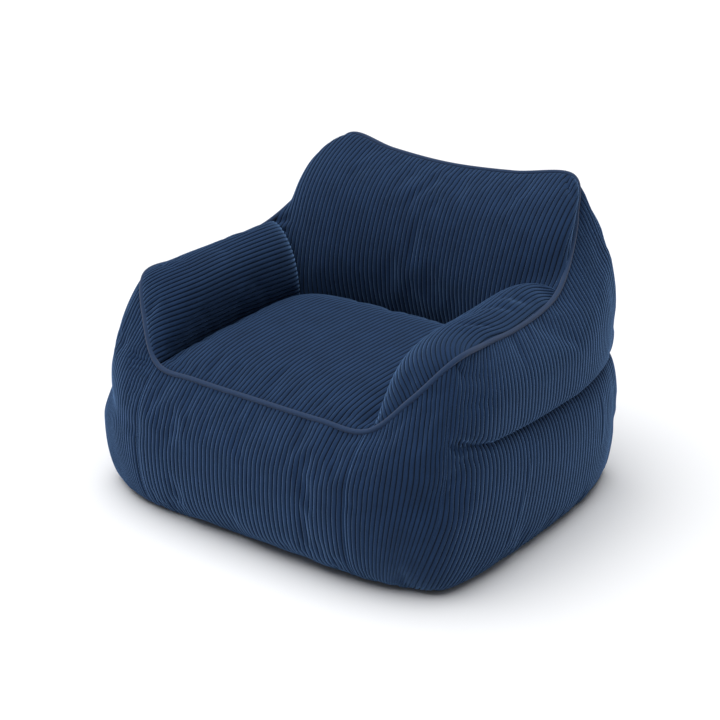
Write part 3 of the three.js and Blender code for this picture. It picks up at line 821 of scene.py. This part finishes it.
@dataclass
class Skin:
    """Makes the fine skin of a panel, with its ribs, tucks and drawn-in edges.

    The ribs fade out over the last few millimetres before a piping or a
    crease, and the seam allowance turns in by the flange's width.
    """

    cloth: Corduroy = Corduroy()
    seam_depth: float = 1.4
    seam_reach: float = 1.6
    crease_depth: float = 2.0
    crease_reach: float = 6.0
    flange: float = 9.0
    fade_reach: float = 4.0
    fade_least: float = 0.15
    lowest_cloth: float = 0.3
    lowest_allowance: float = 0.5

    def build(self, panel: Panel) -> bpy.types.Object:
        """Builds one panel.

        Args:
            panel: The panel, with its coarse movement if it has any.

        Returns:
            A mesh object with its cloth coordinates and rib heights stored.
        """
        wales = self.cloth.columns(*panel.wales)
        shares = panel.shares
        points = panel.grid(wales, shares)
        if panel.pressed is not None:
            across, along = panel.coarse_axes()
            rows = smooth_weights(shares, along)
            columns = smooth_weights(wales, across)
            points = points + np.einsum("ij,jkc,lk->ilc", rows, panel.pressed, columns)
        normals = panel.normals(wales, shares)
        x = (wales[None, :] - panel.wales[0]) * panel.pitch
        x = x * np.ones((len(shares), 1))
        steps = np.linalg.norm(np.diff(points, axis=0), axis=2)
        y = np.vstack([np.zeros(len(wales)), np.cumsum(steps, axis=0)])
        lift = -self._edge_dip(panel, x, y)
        for tuck in panel.tucks:
            lift = lift - self._trough(tuck, panel, wales, shares)
        edge = self._distance_to_edges(panel, x, y)
        fade = np.clip(edge / self.fade_reach, self.fade_least, 1)
        rib = self.cloth.rib(wales)[None, :] * np.ones_like(x)
        lift = lift + fade * self.cloth.height * (rib - self.cloth.mean_level)
        points = points + normals * lift[..., None]
        return self._finish(panel, points, normals, rib, x, y)

    def _distances(self, x: np.ndarray, y: np.ndarray) -> tuple[np.ndarray, ...]:
        """Returns how far each place is from each of the panel's four edges."""
        return y, y[-1:, :] - y, x, x[:, -1:] - x

    def _distance_to_edges(
        self, panel: Panel, x: np.ndarray, y: np.ndarray
    ) -> np.ndarray:
        """Returns how far each place is from the nearest edge that stops ribs."""
        away = np.full_like(x, np.inf)
        distances = self._distances(x, y)
        for edge, distance in zip(panel.edges, distances):
            if edge in (Edge.PIPING, Edge.CREASE):
                away = np.minimum(away, distance)
        return away

    def _edge_dip(self, panel: Panel, x: np.ndarray, y: np.ndarray) -> np.ndarray:
        """Returns how far the seams draw the cloth in."""
        sizes = {
            Edge.PIPING: (0.0, 1.0),
            Edge.SEAM: (self.seam_depth, self.seam_reach),
            Edge.CREASE: (self.crease_depth, self.crease_reach),
            Edge.FLOOR: (0.0, 1.0),
        }
        dip = np.zeros_like(x)
        distances = self._distances(x, y)
        for edge, away in zip(panel.edges, distances):
            depth, reach = sizes[edge]
            dip = dip + depth * np.exp(-away / reach)
        return dip

    def _trough(
        self, tuck: Tuck, panel: Panel, wales: np.ndarray, shares: np.ndarray
    ) -> np.ndarray:
        """Returns the depth of one tuck over the panel's grid."""
        pitch, length = panel.pitch, panel.length
        x = wales[None, :] * pitch
        y = shares[:, None] * length
        start = np.array(tuck.start) * (pitch, length)
        way = np.array(tuck.end) * (pitch, length) - start
        size = float(np.hypot(*way))
        way = way / size
        along = ((x - start[0]) * way[0] + (y - start[1]) * way[1]) / size
        beside = (x - start[0]) * -way[1] + (y - start[1]) * way[0]
        inside = np.clip(1 - np.abs(2 * along - 1) ** 3, 0, 1)
        return tuck.depth * inside * np.exp(-((beside / tuck.width) ** 2))

    def _finish(
        self,
        panel: Panel,
        points: Points,
        normals: np.ndarray,
        rib: np.ndarray,
        x: np.ndarray,
        y: np.ndarray,
    ) -> bpy.types.Object:
        """Adds the seam allowance and stores the cloth coordinates."""
        rows, columns = points.shape[:2]
        ring = np.arange(rows * columns).reshape(rows, columns)
        ring = np.concatenate(
            [ring[0, :-1], ring[:-1, -1], ring[-1, :0:-1], ring[:0:-1, 0]]
        )
        flat, flat_normals = points.reshape(-1, 3), normals.reshape(-1, 3)
        allowance = flat[ring] - flat_normals[ring] * self.flange
        allowance[:, 2] = np.maximum(allowance[:, 2], self.lowest_allowance)
        every = np.vstack([flat, allowance])
        every[:, 2] = np.maximum(every[:, 2], self.lowest_cloth)
        near = rows * columns + np.arange(len(ring))
        strip = np.stack([ring, near, np.roll(near, -1), np.roll(ring, -1)], -1)
        faces = np.vstack([grid_faces(rows, columns), strip])
        obj = new_mesh(f"{panel.node}_cloth", to_metres(every), faces)
        mesh = obj.data
        # These rib heights are also the mask for the painted shade that the material puts in
        # the grooves
        heights = np.concatenate([rib.ravel(), np.zeros(len(ring))])
        layer = mesh.attributes.new("rib", "FLOAT", "POINT")
        layer.data.foreach_set("value", heights.astype(np.float32))
        u = np.concatenate([x.ravel(), x.ravel()[ring]]) * MM
        v = np.concatenate([y.ravel(), y.ravel()[ring]]) * MM
        corners = np.empty(len(mesh.loops), np.int32)
        mesh.loops.foreach_get("vertex_index", corners)
        uv = mesh.uv_layers.new(name="cloth")
        uv.data.foreach_set("uv", np.stack([u, v], -1)[corners].ravel())
        return obj


@dataclass
class RibLayout:
    """Ribs laid side by side from a root line, on a part whose width varies.

    The root line is the part's middle or its crease. Where the part narrows,
    the ribs close up by a share of that, and the outermost ones end on its
    edge. They may also crowd together towards the edge.
    """

    form: Surface
    pitch: float
    closing: float = 0.0
    crowding: float = 0.0
    rows: int = 161
    columns: int = 241

    def __post_init__(self) -> None:
        """Measures the part along its rows."""
        self.ups = np.linspace(0, 1, self.rows)
        self.outs = np.linspace(0, 1, self.columns)
        grid = self.form(self.outs[None, :], self.ups[:, None])
        steps = np.linalg.norm(np.diff(grid, axis=1), axis=2)
        lengths = np.concatenate([np.zeros((self.rows, 1)), np.cumsum(steps, 1)], 1)
        self.widest = int(np.argmax(lengths[:, -1]))
        full = lengths[self.widest, -1]
        narrow = 1 - lengths[:, -1:] / full
        lengths = lengths / (1 - self.closing * narrow)
        if self.crowding:
            lengths = -np.log(1 - self.crowding * lengths / full) * full / self.crowding
        self.ribs = lengths / self.pitch
        most = self.ribs[:, -1]
        self.reach = float(most[self.widest])
        self.rising = np.maximum.accumulate(most[: self.widest + 1])
        self.falling = np.minimum.accumulate(most[self.widest :])

    def chart(self, rib: np.ndarray, share: np.ndarray) -> Places:
        """Finds places on the part.

        Args:
            rib: Rib numbers from the root line, never negative.
            share: Share along the visible length of each rib.

        Returns:
            How far out and how far up each place is, as shares.
        """
        rib, share = np.broadcast_arrays(rib, share)
        low = np.interp(rib, self.rising, self.ups[: self.widest + 1])
        low = np.where(rib < self.rising[0], 0.0, low)
        high = np.interp(rib, self.falling[::-1], self.ups[self.widest :][::-1])
        high = np.where(rib < self.falling[-1], 1.0, high)
        up = low + (high - low) * share
        row = np.clip(up * (self.rows - 1), 0, self.rows - 1.001)
        start = row.astype(int)
        part = (row - start).ravel()
        out = np.empty(up.size)
        for i, (k, f, r) in enumerate(zip(start.ravel(), part, rib.ravel())):
            line = self.ribs[k] * (1 - f) + self.ribs[k + 1] * f
            out[i] = np.interp(r, line, self.outs)
        return out.reshape(up.shape), up


@dataclass
class PanelSet:
    """Lays out every panel of the chair over its form.

    The pitches are millimetres from rib to rib, and the band is the share of a
    wale that each panel keeps beyond its last groove for the seam.
    """

    form: ChairForm = ChairForm()
    seat_wales: float = 51.0
    front_pitch: float = 10.2
    side_pitch: float = 11.0
    back_pitch: float = 10.4
    arm_pitch: float = 11.0
    arm_crowding: float = 0.25
    arm_closing: float = 0.35
    band: float = 0.62

    def belly_length(self) -> Places:
        """Returns stations and the length round the belly line to each."""
        stations = np.linspace(0, LAST_STATION, 1301)
        line = BELLY.read(stations)[:, :2]
        steps = np.linalg.norm(np.diff(line, axis=0), axis=1)
        return stations, np.concatenate([[0], np.cumsum(steps)])

    def outer(
        self,
        node: str,
        first: float,
        last: float,
        pitch: float,
        tucks: tuple[Tuck, ...] = (),
    ) -> Panel:
        """Lays out a front, side or back panel between two stations.

        Args:
            node: The CAD node it stands for.
            first: Signed station of its first edge.
            last: Signed station of its last edge, anticlockwise from above.
            pitch: Distance between its ribs along the belly line.
            tucks: Troughs pressed into it.

        Returns:
            The panel, with its first edge at the end of wale 0.
        """
        stations, lengths = self.belly_length()
        half = lengths[-1]

        def place(station: float) -> float:
            length = float(np.interp(abs(station), stations, lengths))
            return math.copysign(length, station)

        start, end = place(first), place(last)
        if end < start:
            end += 2 * half

        # Each end stops a little past the top of a rib, so the two panels of
        # a seam make one broad smooth band
        count = round((end - start) / pitch) + self.band - (1 - self.band)
        pitch = (end - start) / count
        early = 1 - self.band

        def chart(wale: np.ndarray, share: np.ndarray) -> Places:
            length = start + (np.asarray(wale, float) - early) * pitch
            length = np.where(length > half, length - 2 * half, length)
            station = np.interp(np.abs(length), lengths, stations)
            signed = np.where(length < 0, -station, station)
            return tuple(np.broadcast_arrays(signed, share))

        return Panel(
            node,
            chart,
            self.form.outside,
            ((-LAST_STATION, LAST_STATION), (0.0, 1.0)),
            (early, early + count),
            pitch,
            (Edge.FLOOR, Edge.PIPING, Edge.SEAM, Edge.SEAM),
            tucks,
        )

    def seat(self) -> Panel:
        """Lays out the seat, with its ribs running front to back."""
        across = np.linspace(-1, 1, 401)
        line = self.form.seat(across, np.full_like(across, 0.5))
        steps = np.linalg.norm(np.diff(line, axis=0), axis=1)
        along = np.concatenate([[0], np.cumsum(steps)])
        wales = along / along[-1] * self.seat_wales

        def chart(wale: np.ndarray, share: np.ndarray) -> Places:
            place = np.interp(wale, wales, across)
            return tuple(np.broadcast_arrays(place, share))

        return Panel(
            "seat_panel",
            chart,
            self.form.seat,
            ((-1.0, 1.0), (0.0, 1.0)),
            (0.0, self.seat_wales),
            along[-1] / self.seat_wales,
            (Edge.PIPING, Edge.CREASE, Edge.CREASE, Edge.CREASE),
        )

    def arm(self, node: str, side: int, tucks: tuple[Tuck, ...] = ()) -> Panel:
        """Lays out the inside of an arm, with its ribs running to the back.

        Args:
            node: The CAD node it stands for.
            side: 1 on the right and -1 on the left.
            tucks: Troughs pressed into it.

        Returns:
            The panel, with wale 0 at the crease on the right arm and at the
            piping on the left one.
        """
        layout = RibLayout(
            self.form.arm, self.arm_pitch, self.arm_closing, self.arm_crowding
        )

        def chart(wale: np.ndarray, share: np.ndarray) -> Places:
            out, along = layout.chart(np.abs(wale), share)
            return out * side, along

        def form(out: np.ndarray, along: np.ndarray) -> Points:
            points = self.form.arm(np.abs(out), along)
            return points if side > 0 else mirrored(points)

        ends = (Edge.CREASE, Edge.PIPING) if side > 0 else (Edge.PIPING, Edge.CREASE)
        return Panel(
            node,
            chart,
            form,
            ((0.0, 1.0) if side > 0 else (-1.0, 0.0), (0.0, 1.0)),
            (0.0, layout.reach) if side > 0 else (-layout.reach, 0.0),
            self.arm_pitch,
            (Edge.PIPING, Edge.CREASE, *ends),
            tucks,
        )

    def back(self, tucks: tuple[Tuck, ...] = ()) -> Panel:
        """Lays out the inner back, whose outer ribs end on its sides."""
        layout = RibLayout(self.form.back, self.back_pitch)

        def chart(wale: np.ndarray, share: np.ndarray) -> Places:
            out, up = layout.chart(np.abs(wale), share)
            return out * np.where(wale < 0, -1.0, 1.0), up

        return Panel(
            "back_inner_panel",
            chart,
            self.form.back,
            ((-1.0, 1.0), (0.0, 1.0)),
            (-layout.reach, layout.reach),
            self.back_pitch,
            (Edge.CREASE, Edge.PIPING, Edge.PIPING, Edge.PIPING),
            tucks,
        )

    def all(self) -> list[Panel]:
        """Returns every panel of the chair."""
        front, corner, side = FRONT_CORNER, ARM_FRONT, BACK_CORNER
        wide, close = self.side_pitch, self.front_pitch
        return [
            self.seat(),
            self.back(BACK_TUCKS),
            self.arm("arm_inner_right", 1, ARM_RIGHT_TUCKS),
            self.arm("arm_inner_left", -1, ARM_LEFT_TUCKS),
            self.outer("front_panel", -front, front, close),
            self.outer("front_corner_right", front, corner, close, CORNER_RIGHT_TUCKS),
            self.outer("front_corner_left", -corner, -front, close, CORNER_LEFT_TUCKS),
            self.outer("side_panel_right", corner, side, wide, SIDE_RIGHT_TUCKS),
            self.outer("side_panel_left", -side, -corner, wide, SIDE_LEFT_TUCKS),
            self.outer("back_outer_panel", side, -side, wide, OUTER_BACK_TUCKS),
        ]


def per_metre(size: float) -> float:
    """Returns the noise scale that makes patches of a size in millimetres."""
    return 1 / (size * MM)


def linear(code: str) -> tuple[float, float, float, float]:
    """Converts an sRGB hex colour to linear values with full alpha."""
    values = []
    for i in range(0, 6, 2):
        c = int(code[i : i + 2], 16) / 255
        values.append(c / 12.92 if c <= 0.04045 else ((c + 0.055) / 1.055) ** 2.4)
    return (*values, 1.0)


@dataclass
class NodeSheet:
    """Adds nodes to a material's tree, each with its settings and links."""

    material: bpy.types.Material

    def __post_init__(self) -> None:
        """Clears the tree."""
        self.material.use_nodes = True
        self.material.node_tree.nodes.clear()

    def add(self, kind: str, settings: dict | None = None, **inputs) -> bpy.types.Node:
        """Adds one node.

        Args:
            kind: The node's type name.
            settings: Attributes to set on the node.
            **inputs: Values or output sockets, by input name with underscores
                for spaces, or by number after an "i".

        Returns:
            The new node.
        """
        tree = self.material.node_tree
        node = tree.nodes.new(kind)
        for name, value in (settings or {}).items():
            setattr(node, name, value)
        for name, value in inputs.items():
            if name[0] == "i" and name[1:].isdigit():
                socket = node.inputs[int(name[1:])]
            else:
                socket = node.inputs[name.replace("_", " ")]
            if isinstance(value, bpy.types.NodeSocket):
                tree.links.new(value, socket)
            else:
                socket.default_value = value
        return node


@dataclass(frozen=True)
class PileCorduroy:
    """Cotton corduroy, woven, cut into ribs and brushed.

    The upright pile looks matt and dark when it is seen end on, pale where it
    is seen from the side. The grooves between the ribs carry painted shade, a
    nearly black colour.
    Sizes are in millimetres.
    """

    name: str = "corduroy"
    rib_colour: str = "1b304f"
    # Painted shade: the nearly black colour put down in the grooves between the ribs
    groove_shade_colour: str = "02050b"
    sheen_colour: str = "86b2ea"
    roughness: float = 0.92
    sheen: float = 1.0
    sheen_roughness: float = 0.4
    specular: float = 0.15
    # Tufts of the pile are about 0.6 mm wide, and drawn coarser so that they show
    tuft: float = 1.1111
    tuft_stretch: float = 0.22
    # The ends of the fibres are about 0.1 mm wide, and drawn far coarser
    fibre: float = 1.6129
    # Areas where hands and sitting have turned the pile
    turned_pile: float = 45.455
    # Rib height up to which the grooves get the full painted shade
    groove_shade_top: float = 0.3
    value_least: float = 0.7
    value_most: float = 1.3
    nap_height: float = 0.6
    nap_strength: float = 0.5

    def build(self) -> bpy.types.Material:
        """Returns the material."""
        material = bpy.data.materials.new(self.name)
        sheet = NodeSheet(material)
        cloth = sheet.add("ShaderNodeUVMap", {"uv_map": "cloth"}).outputs["UV"]
        rib = sheet.add("ShaderNodeAttribute", {"attribute_name": "rib"})
        # The tufts lean along the rib, so their streaks are drawn out that way
        stretched = sheet.add(
            "ShaderNodeMapping", Vector=cloth, Scale=(1.0, self.tuft_stretch, 1.0)
        ).outputs["Vector"]
        noise = "ShaderNodeTexNoise"
        streaks = sheet.add(
            noise, Vector=stretched, Scale=per_metre(self.tuft), Detail=3.0
        ).outputs["Fac"]
        grain = sheet.add(
            noise, Vector=cloth, Scale=per_metre(self.fibre), Detail=4.0, Roughness=0.7
        ).outputs["Fac"]
        turned = sheet.add(
            noise, Vector=cloth, Scale=per_metre(self.turned_pile), Detail=2.0
        ).outputs["Fac"]
        # Painted shade: the base colour falls from the rib colour to nearly black as the rib
        # height drops into the grooves
        height = sheet.add(
            "ShaderNodeMapRange",
            {"interpolation_type": "SMOOTHSTEP"},
            Value=rib.outputs["Fac"],
            From_Min=self.groove_shade_top,
            From_Max=1.0,
        ).outputs["Result"]
        colour = sheet.add(
            "ShaderNodeMix",
            {"data_type": "RGBA"},
            Factor=height,
            i6=linear(self.groove_shade_colour),
            i7=linear(self.rib_colour),
        ).outputs[2]
        mixed = streaks
        for pattern in (grain, turned):
            mixed = sheet.add(
                "ShaderNodeMath", {"operation": "ADD"}, i0=mixed, i1=pattern
            ).outputs[0]
        value = sheet.add(
            "ShaderNodeMapRange",
            Value=mixed,
            From_Min=1.0,
            From_Max=2.0,
            To_Min=self.value_least,
            To_Max=self.value_most,
        ).outputs["Result"]
        colour = sheet.add(
            "ShaderNodeHueSaturation", Color=colour, Value=value
        ).outputs["Color"]
        bump = sheet.add(
            "ShaderNodeBump",
            Height=grain,
            Strength=self.nap_strength,
            Distance=self.nap_height * MM,
        ).outputs["Normal"]
        shader = sheet.add(
            "ShaderNodeBsdfPrincipled",
            Base_Color=colour,
            Roughness=self.roughness,
            Normal=bump,
            Sheen_Weight=self.sheen,
            Sheen_Roughness=self.sheen_roughness,
            Sheen_Tint=linear(self.sheen_colour),
            Specular_IOR_Level=self.specular,
        )
        sheet.add("ShaderNodeOutputMaterial", Surface=shader.outputs[0])
        return material


@dataclass(frozen=True)
class PlainCotton:
    """Plain-woven dyed cotton, whose fine even grain looks matt and flat."""

    name: str
    colour: str
    roughness: float = 0.85
    sheen: float = 0.2
    specular: float = 0.2
    # Threads are about 0.4 mm apart, and drawn coarser so that they show
    thread: float = 1.42857
    value_least: float = 0.85
    value_most: float = 1.12
    weave_height: float = 0.4
    weave_strength: float = 0.4

    def build(self) -> bpy.types.Material:
        """Returns the material."""
        material = bpy.data.materials.new(self.name)
        sheet = NodeSheet(material)
        place = sheet.add("ShaderNodeTexCoord").outputs["Object"]
        grain = sheet.add(
            "ShaderNodeTexNoise",
            Vector=place,
            Scale=per_metre(self.thread),
            Detail=3.0,
        ).outputs["Fac"]
        value = sheet.add(
            "ShaderNodeMapRange",
            Value=grain,
            From_Min=0.3,
            From_Max=0.7,
            To_Min=self.value_least,
            To_Max=self.value_most,
        ).outputs["Result"]
        colour = sheet.add(
            "ShaderNodeHueSaturation", Color=linear(self.colour), Value=value
        ).outputs["Color"]
        bump = sheet.add(
            "ShaderNodeBump",
            Height=grain,
            Strength=self.weave_strength,
            Distance=self.weave_height * MM,
        ).outputs["Normal"]
        shader = sheet.add(
            "ShaderNodeBsdfPrincipled",
            Base_Color=colour,
            Roughness=self.roughness,
            Normal=bump,
            Sheen_Weight=self.sheen,
            Specular_IOR_Level=self.specular,
        )
        sheet.add("ShaderNodeOutputMaterial", Surface=shader.outputs[0])
        return material


@dataclass(frozen=True)
class PalePaper:
    """Matt white studio paper."""

    name: str = "studio_paper"
    colour: str = "f4f5f7"

    def build(self) -> bpy.types.Material:
        """Returns the material."""
        material = bpy.data.materials.new(self.name)
        sheet = NodeSheet(material)
        shader = sheet.add(
            "ShaderNodeBsdfPrincipled", Base_Color=linear(self.colour), Roughness=0.9
        )
        sheet.add("ShaderNodeOutputMaterial", Surface=shader.outputs[0])
        return material


def all_round(steps: int) -> np.ndarray:
    """Returns signed stations once round the chair, from the middle of the lip."""
    share = np.arange(steps) / steps
    return np.where(share < 0.5, share, share - 1) * 2 * LAST_STATION


@dataclass
class PipingCord:
    """The covered cord sewn into the seam round the chair."""

    form: ChairForm = ChairForm()
    radius: float = 5.0
    steps: int = 700
    sides: int = 16

    def build(self, material: bpy.types.Material) -> bpy.types.Object:
        """Sweeps the cord along its seam.

        Args:
            material: Cloth that covers it.

        Returns:
            The cord as a plain mesh object.
        """
        station = all_round(self.steps)
        line = to_metres(self.form.piping(station))
        mesh = bpy.data.meshes.new("piping_line")
        ends = np.arange(self.steps)
        edges = np.stack([ends, np.roll(ends, -1)], -1).tolist()
        mesh.from_pydata(line.tolist(), edges, [])
        path = bpy.data.objects.new("piping_line", mesh)
        bpy.context.scene.collection.objects.link(path)
        tree = self._tree()
        modifier = path.modifiers.new("cord", "NODES")
        modifier.node_group = tree
        values = {"Radius": self.radius * MM, "Sides": self.sides, "Cloth": material}
        for item in tree.interface.items_tree:
            if item.item_type == "SOCKET" and item.name in values:
                modifier[item.identifier] = values[item.name]
        bpy.context.view_layer.update()
        evaluated = path.evaluated_get(bpy.context.evaluated_depsgraph_get())
        swept = bpy.data.meshes.new_from_object(evaluated)
        bpy.data.objects.remove(path)
        obj = bpy.data.objects.new("piping_cord", swept)
        bpy.context.scene.collection.objects.link(obj)
        return obj

    def _tree(self) -> bpy.types.NodeTree:
        """Returns the node tree that sweeps a round section along a line."""
        tree = bpy.data.node_groups.new("cord_along_line", "GeometryNodeTree")
        for name, way, kind in (
            ("Geometry", "INPUT", "Geometry"),
            ("Radius", "INPUT", "Float"),
            ("Sides", "INPUT", "Int"),
            ("Cloth", "INPUT", "Material"),
            ("Geometry", "OUTPUT", "Geometry"),
        ):
            tree.interface.new_socket(
                name, in_out=way, socket_type=f"NodeSocket{kind}"
            )
        kinds = (
            "NodeGroupInput",
            "GeometryNodeMeshToCurve",
            "GeometryNodeCurvePrimitiveCircle",
            "GeometryNodeCurveToMesh",
            "GeometryNodeSetShadeSmooth",
            "GeometryNodeRealizeInstances",
            "GeometryNodeSetMaterial",
            "NodeGroupOutput",
        )
        start, line, ring, sweep, smooth, real, dye, end = (
            tree.nodes.new(kind) for kind in kinds
        )
        for giver, output, taker, entry in (
            (start, "Geometry", line, "Mesh"),
            (start, "Radius", ring, "Radius"),
            (start, "Sides", ring, "Resolution"),
            (line, "Curve", sweep, "Curve"),
            (ring, "Curve", sweep, "Profile Curve"),
            (sweep, "Mesh", smooth, "Geometry"),
            (smooth, "Geometry", real, "Geometry"),
            (real, "Geometry", dye, "Geometry"),
            (start, "Cloth", dye, "Material"),
            (dye, "Geometry", end, "Geometry"),
        ):
            tree.links.new(giver.outputs[output], taker.inputs[entry])
        return tree


@dataclass
class BasePanel:
    """The sheet under the chair, turned up into the seam round its foot."""

    form: ChairForm = ChairForm()
    steps: int = 240
    thickness: float = 4.0
    hem: tuple[tuple[float, float], ...] = ((0.0, 2.0), (2.0, 0.4), (14.0, 0.0))
    middle_share: float = 0.02

    def build(self) -> bpy.types.Object:
        """Returns the sheet as a thin mesh with a lower and an upper side."""
        station = all_round(self.steps)
        rim = self.form.outside(station, np.zeros_like(station))
        middle = np.array([0, FRONT_TO_CENTRE, 0])
        rings = []
        for inset, z in self.hem:
            away = middle - rim
            away[:, 2] = 0
            away /= np.linalg.norm(away, axis=1, keepdims=True)
            ring = rim + away * inset
            ring[:, 2] = z
            rings.append(ring)
        for z in (0.0, self.thickness):
            centre = np.tile(middle, (self.steps, 1)).astype(float)
            centre[:, 2] = z
            rings.append(centre + (rim - centre) * self.middle_share * (1, 1, 0))
        rim_top = rings[0] + (0, 0, self.thickness - self.hem[0][1])
        grid = np.stack([*rings, rim_top])
        points = grid.reshape(-1, 3)
        index = np.arange(len(points)).reshape(grid.shape[:2])
        ahead = np.roll(index, -1, axis=1)
        cells = np.stack([index[:-1], index[1:], ahead[1:], ahead[:-1]], -1)
        return new_mesh("base_cloth", to_metres(points), cells.reshape(-1, 4))


@dataclass
class Studio:
    """Plain white studio: floor, soft lights and the camera."""

    camera_place: tuple[float, float, float] = (1.8144, -2.3729, 1.4667)
    camera_azimuth: float = 37.666
    camera_elevation: float = 22.0
    lens: float = 79.7
    overhead: float = 3.35
    overhead_spread: float = 70.0
    overhead_tilt: tuple[float, float, float] = (6.0, -8.0, 0.0)
    surroundings: float = 0.17
    window_place: tuple[float, float, float] = (-2.6, -1.2, 2.4)
    window_size: float = 2.4
    window_power: float = 3.0
    aim_height: float = 0.3
    floor_reach: float = 30.0
    sensor_width: float = 36.0

    def build(self) -> None:
        """Builds the floor, the lights and the camera."""
        self._floor()
        self._overhead()
        self._window()
        self._world()
        self._camera()

    def _overhead(self) -> None:
        """Adds the broad soft light overhead."""
        lamp = bpy.data.lights.new("overhead", "SUN")
        lamp.energy = self.overhead
        lamp.angle = math.radians(self.overhead_spread)
        obj = bpy.data.objects.new("overhead", lamp)
        obj.rotation_euler = [math.radians(v) for v in self.overhead_tilt]
        bpy.context.scene.collection.objects.link(obj)

    def _floor(self) -> None:
        """Adds the pale floor."""
        corners = np.array([[-1, -1, 0], [1, -1, 0], [1, 1, 0], [-1, 1, 0]])
        floor = new_mesh("floor", corners * self.floor_reach, np.array([[0, 1, 2, 3]]))
        floor.data.materials.append(PalePaper().build())

    def _window(self) -> None:
        """Adds one large area light on the left, aimed at the chair."""
        lamp = bpy.data.lights.new("window", "AREA")
        lamp.shape = "DISK"
        lamp.size = self.window_size
        lamp.energy = self.window_power
        obj = bpy.data.objects.new("window", lamp)
        bpy.context.scene.collection.objects.link(obj)
        away = np.array([0, 0, self.aim_height]) - np.array(self.window_place)
        obj.location = self.window_place
        level = math.hypot(away[0], away[1])
        obj.rotation_euler = (
            math.atan2(level, -away[2]),
            0,
            math.atan2(away[1], away[0]) - math.pi / 2,
        )

    def _world(self) -> None:
        """Sets the even white surroundings."""
        world = bpy.data.worlds.new("studio")
        world.use_nodes = True
        background = world.node_tree.nodes["Background"]
        background.inputs["Color"].default_value = linear("ffffff")
        background.inputs["Strength"].default_value = self.surroundings
        bpy.context.scene.world = world
        bpy.context.scene.view_settings.view_transform = "Standard"

    def _camera(self) -> None:
        """Sets the camera where the photograph was taken from."""
        data = bpy.data.cameras.new("camera")
        data.sensor_width = self.sensor_width
        data.lens = self.lens
        camera = bpy.data.objects.new("camera", data)
        camera.location = self.camera_place
        camera.rotation_euler = (
            math.radians(90 - self.camera_elevation),
            0,
            math.radians(self.camera_azimuth),
        )
        bpy.context.scene.collection.objects.link(camera)
        bpy.context.scene.camera = camera


def place(obj: bpy.types.Object, node: str, slot: str) -> None:
    """Hangs a finished piece under the chair's root and hides the CAD node it stands for."""
    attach(obj, "root")
    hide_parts(node)
    LOG.info("%s has %d faces", node, len(obj.data.polygons))


def main() -> None:
    """Builds the chair and its studio."""
    logging.basicConfig(level=logging.INFO)
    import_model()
    cloth = Corduroy()
    panels = PanelSet().all()
    Filling().press(panels)
    corduroy = PileCorduroy().build()
    skin = Skin(cloth=cloth)
    for panel in panels:
        obj = skin.build(panel)
        obj.data.materials.append(corduroy)
        place(obj, panel.node, "corduroy")
    cord = PipingCord().build(PlainCotton("piping_cotton", PIPING_COLOUR).build())
    place(cord, "piping", "piping_cloth")
    base = BasePanel().build()
    base.data.materials.append(PlainCotton("base_cotton", BASE_COLOUR).build())
    place(base, "base_panel", "base_cloth")
    Studio().build()


if __name__ == "__main__":
    main()
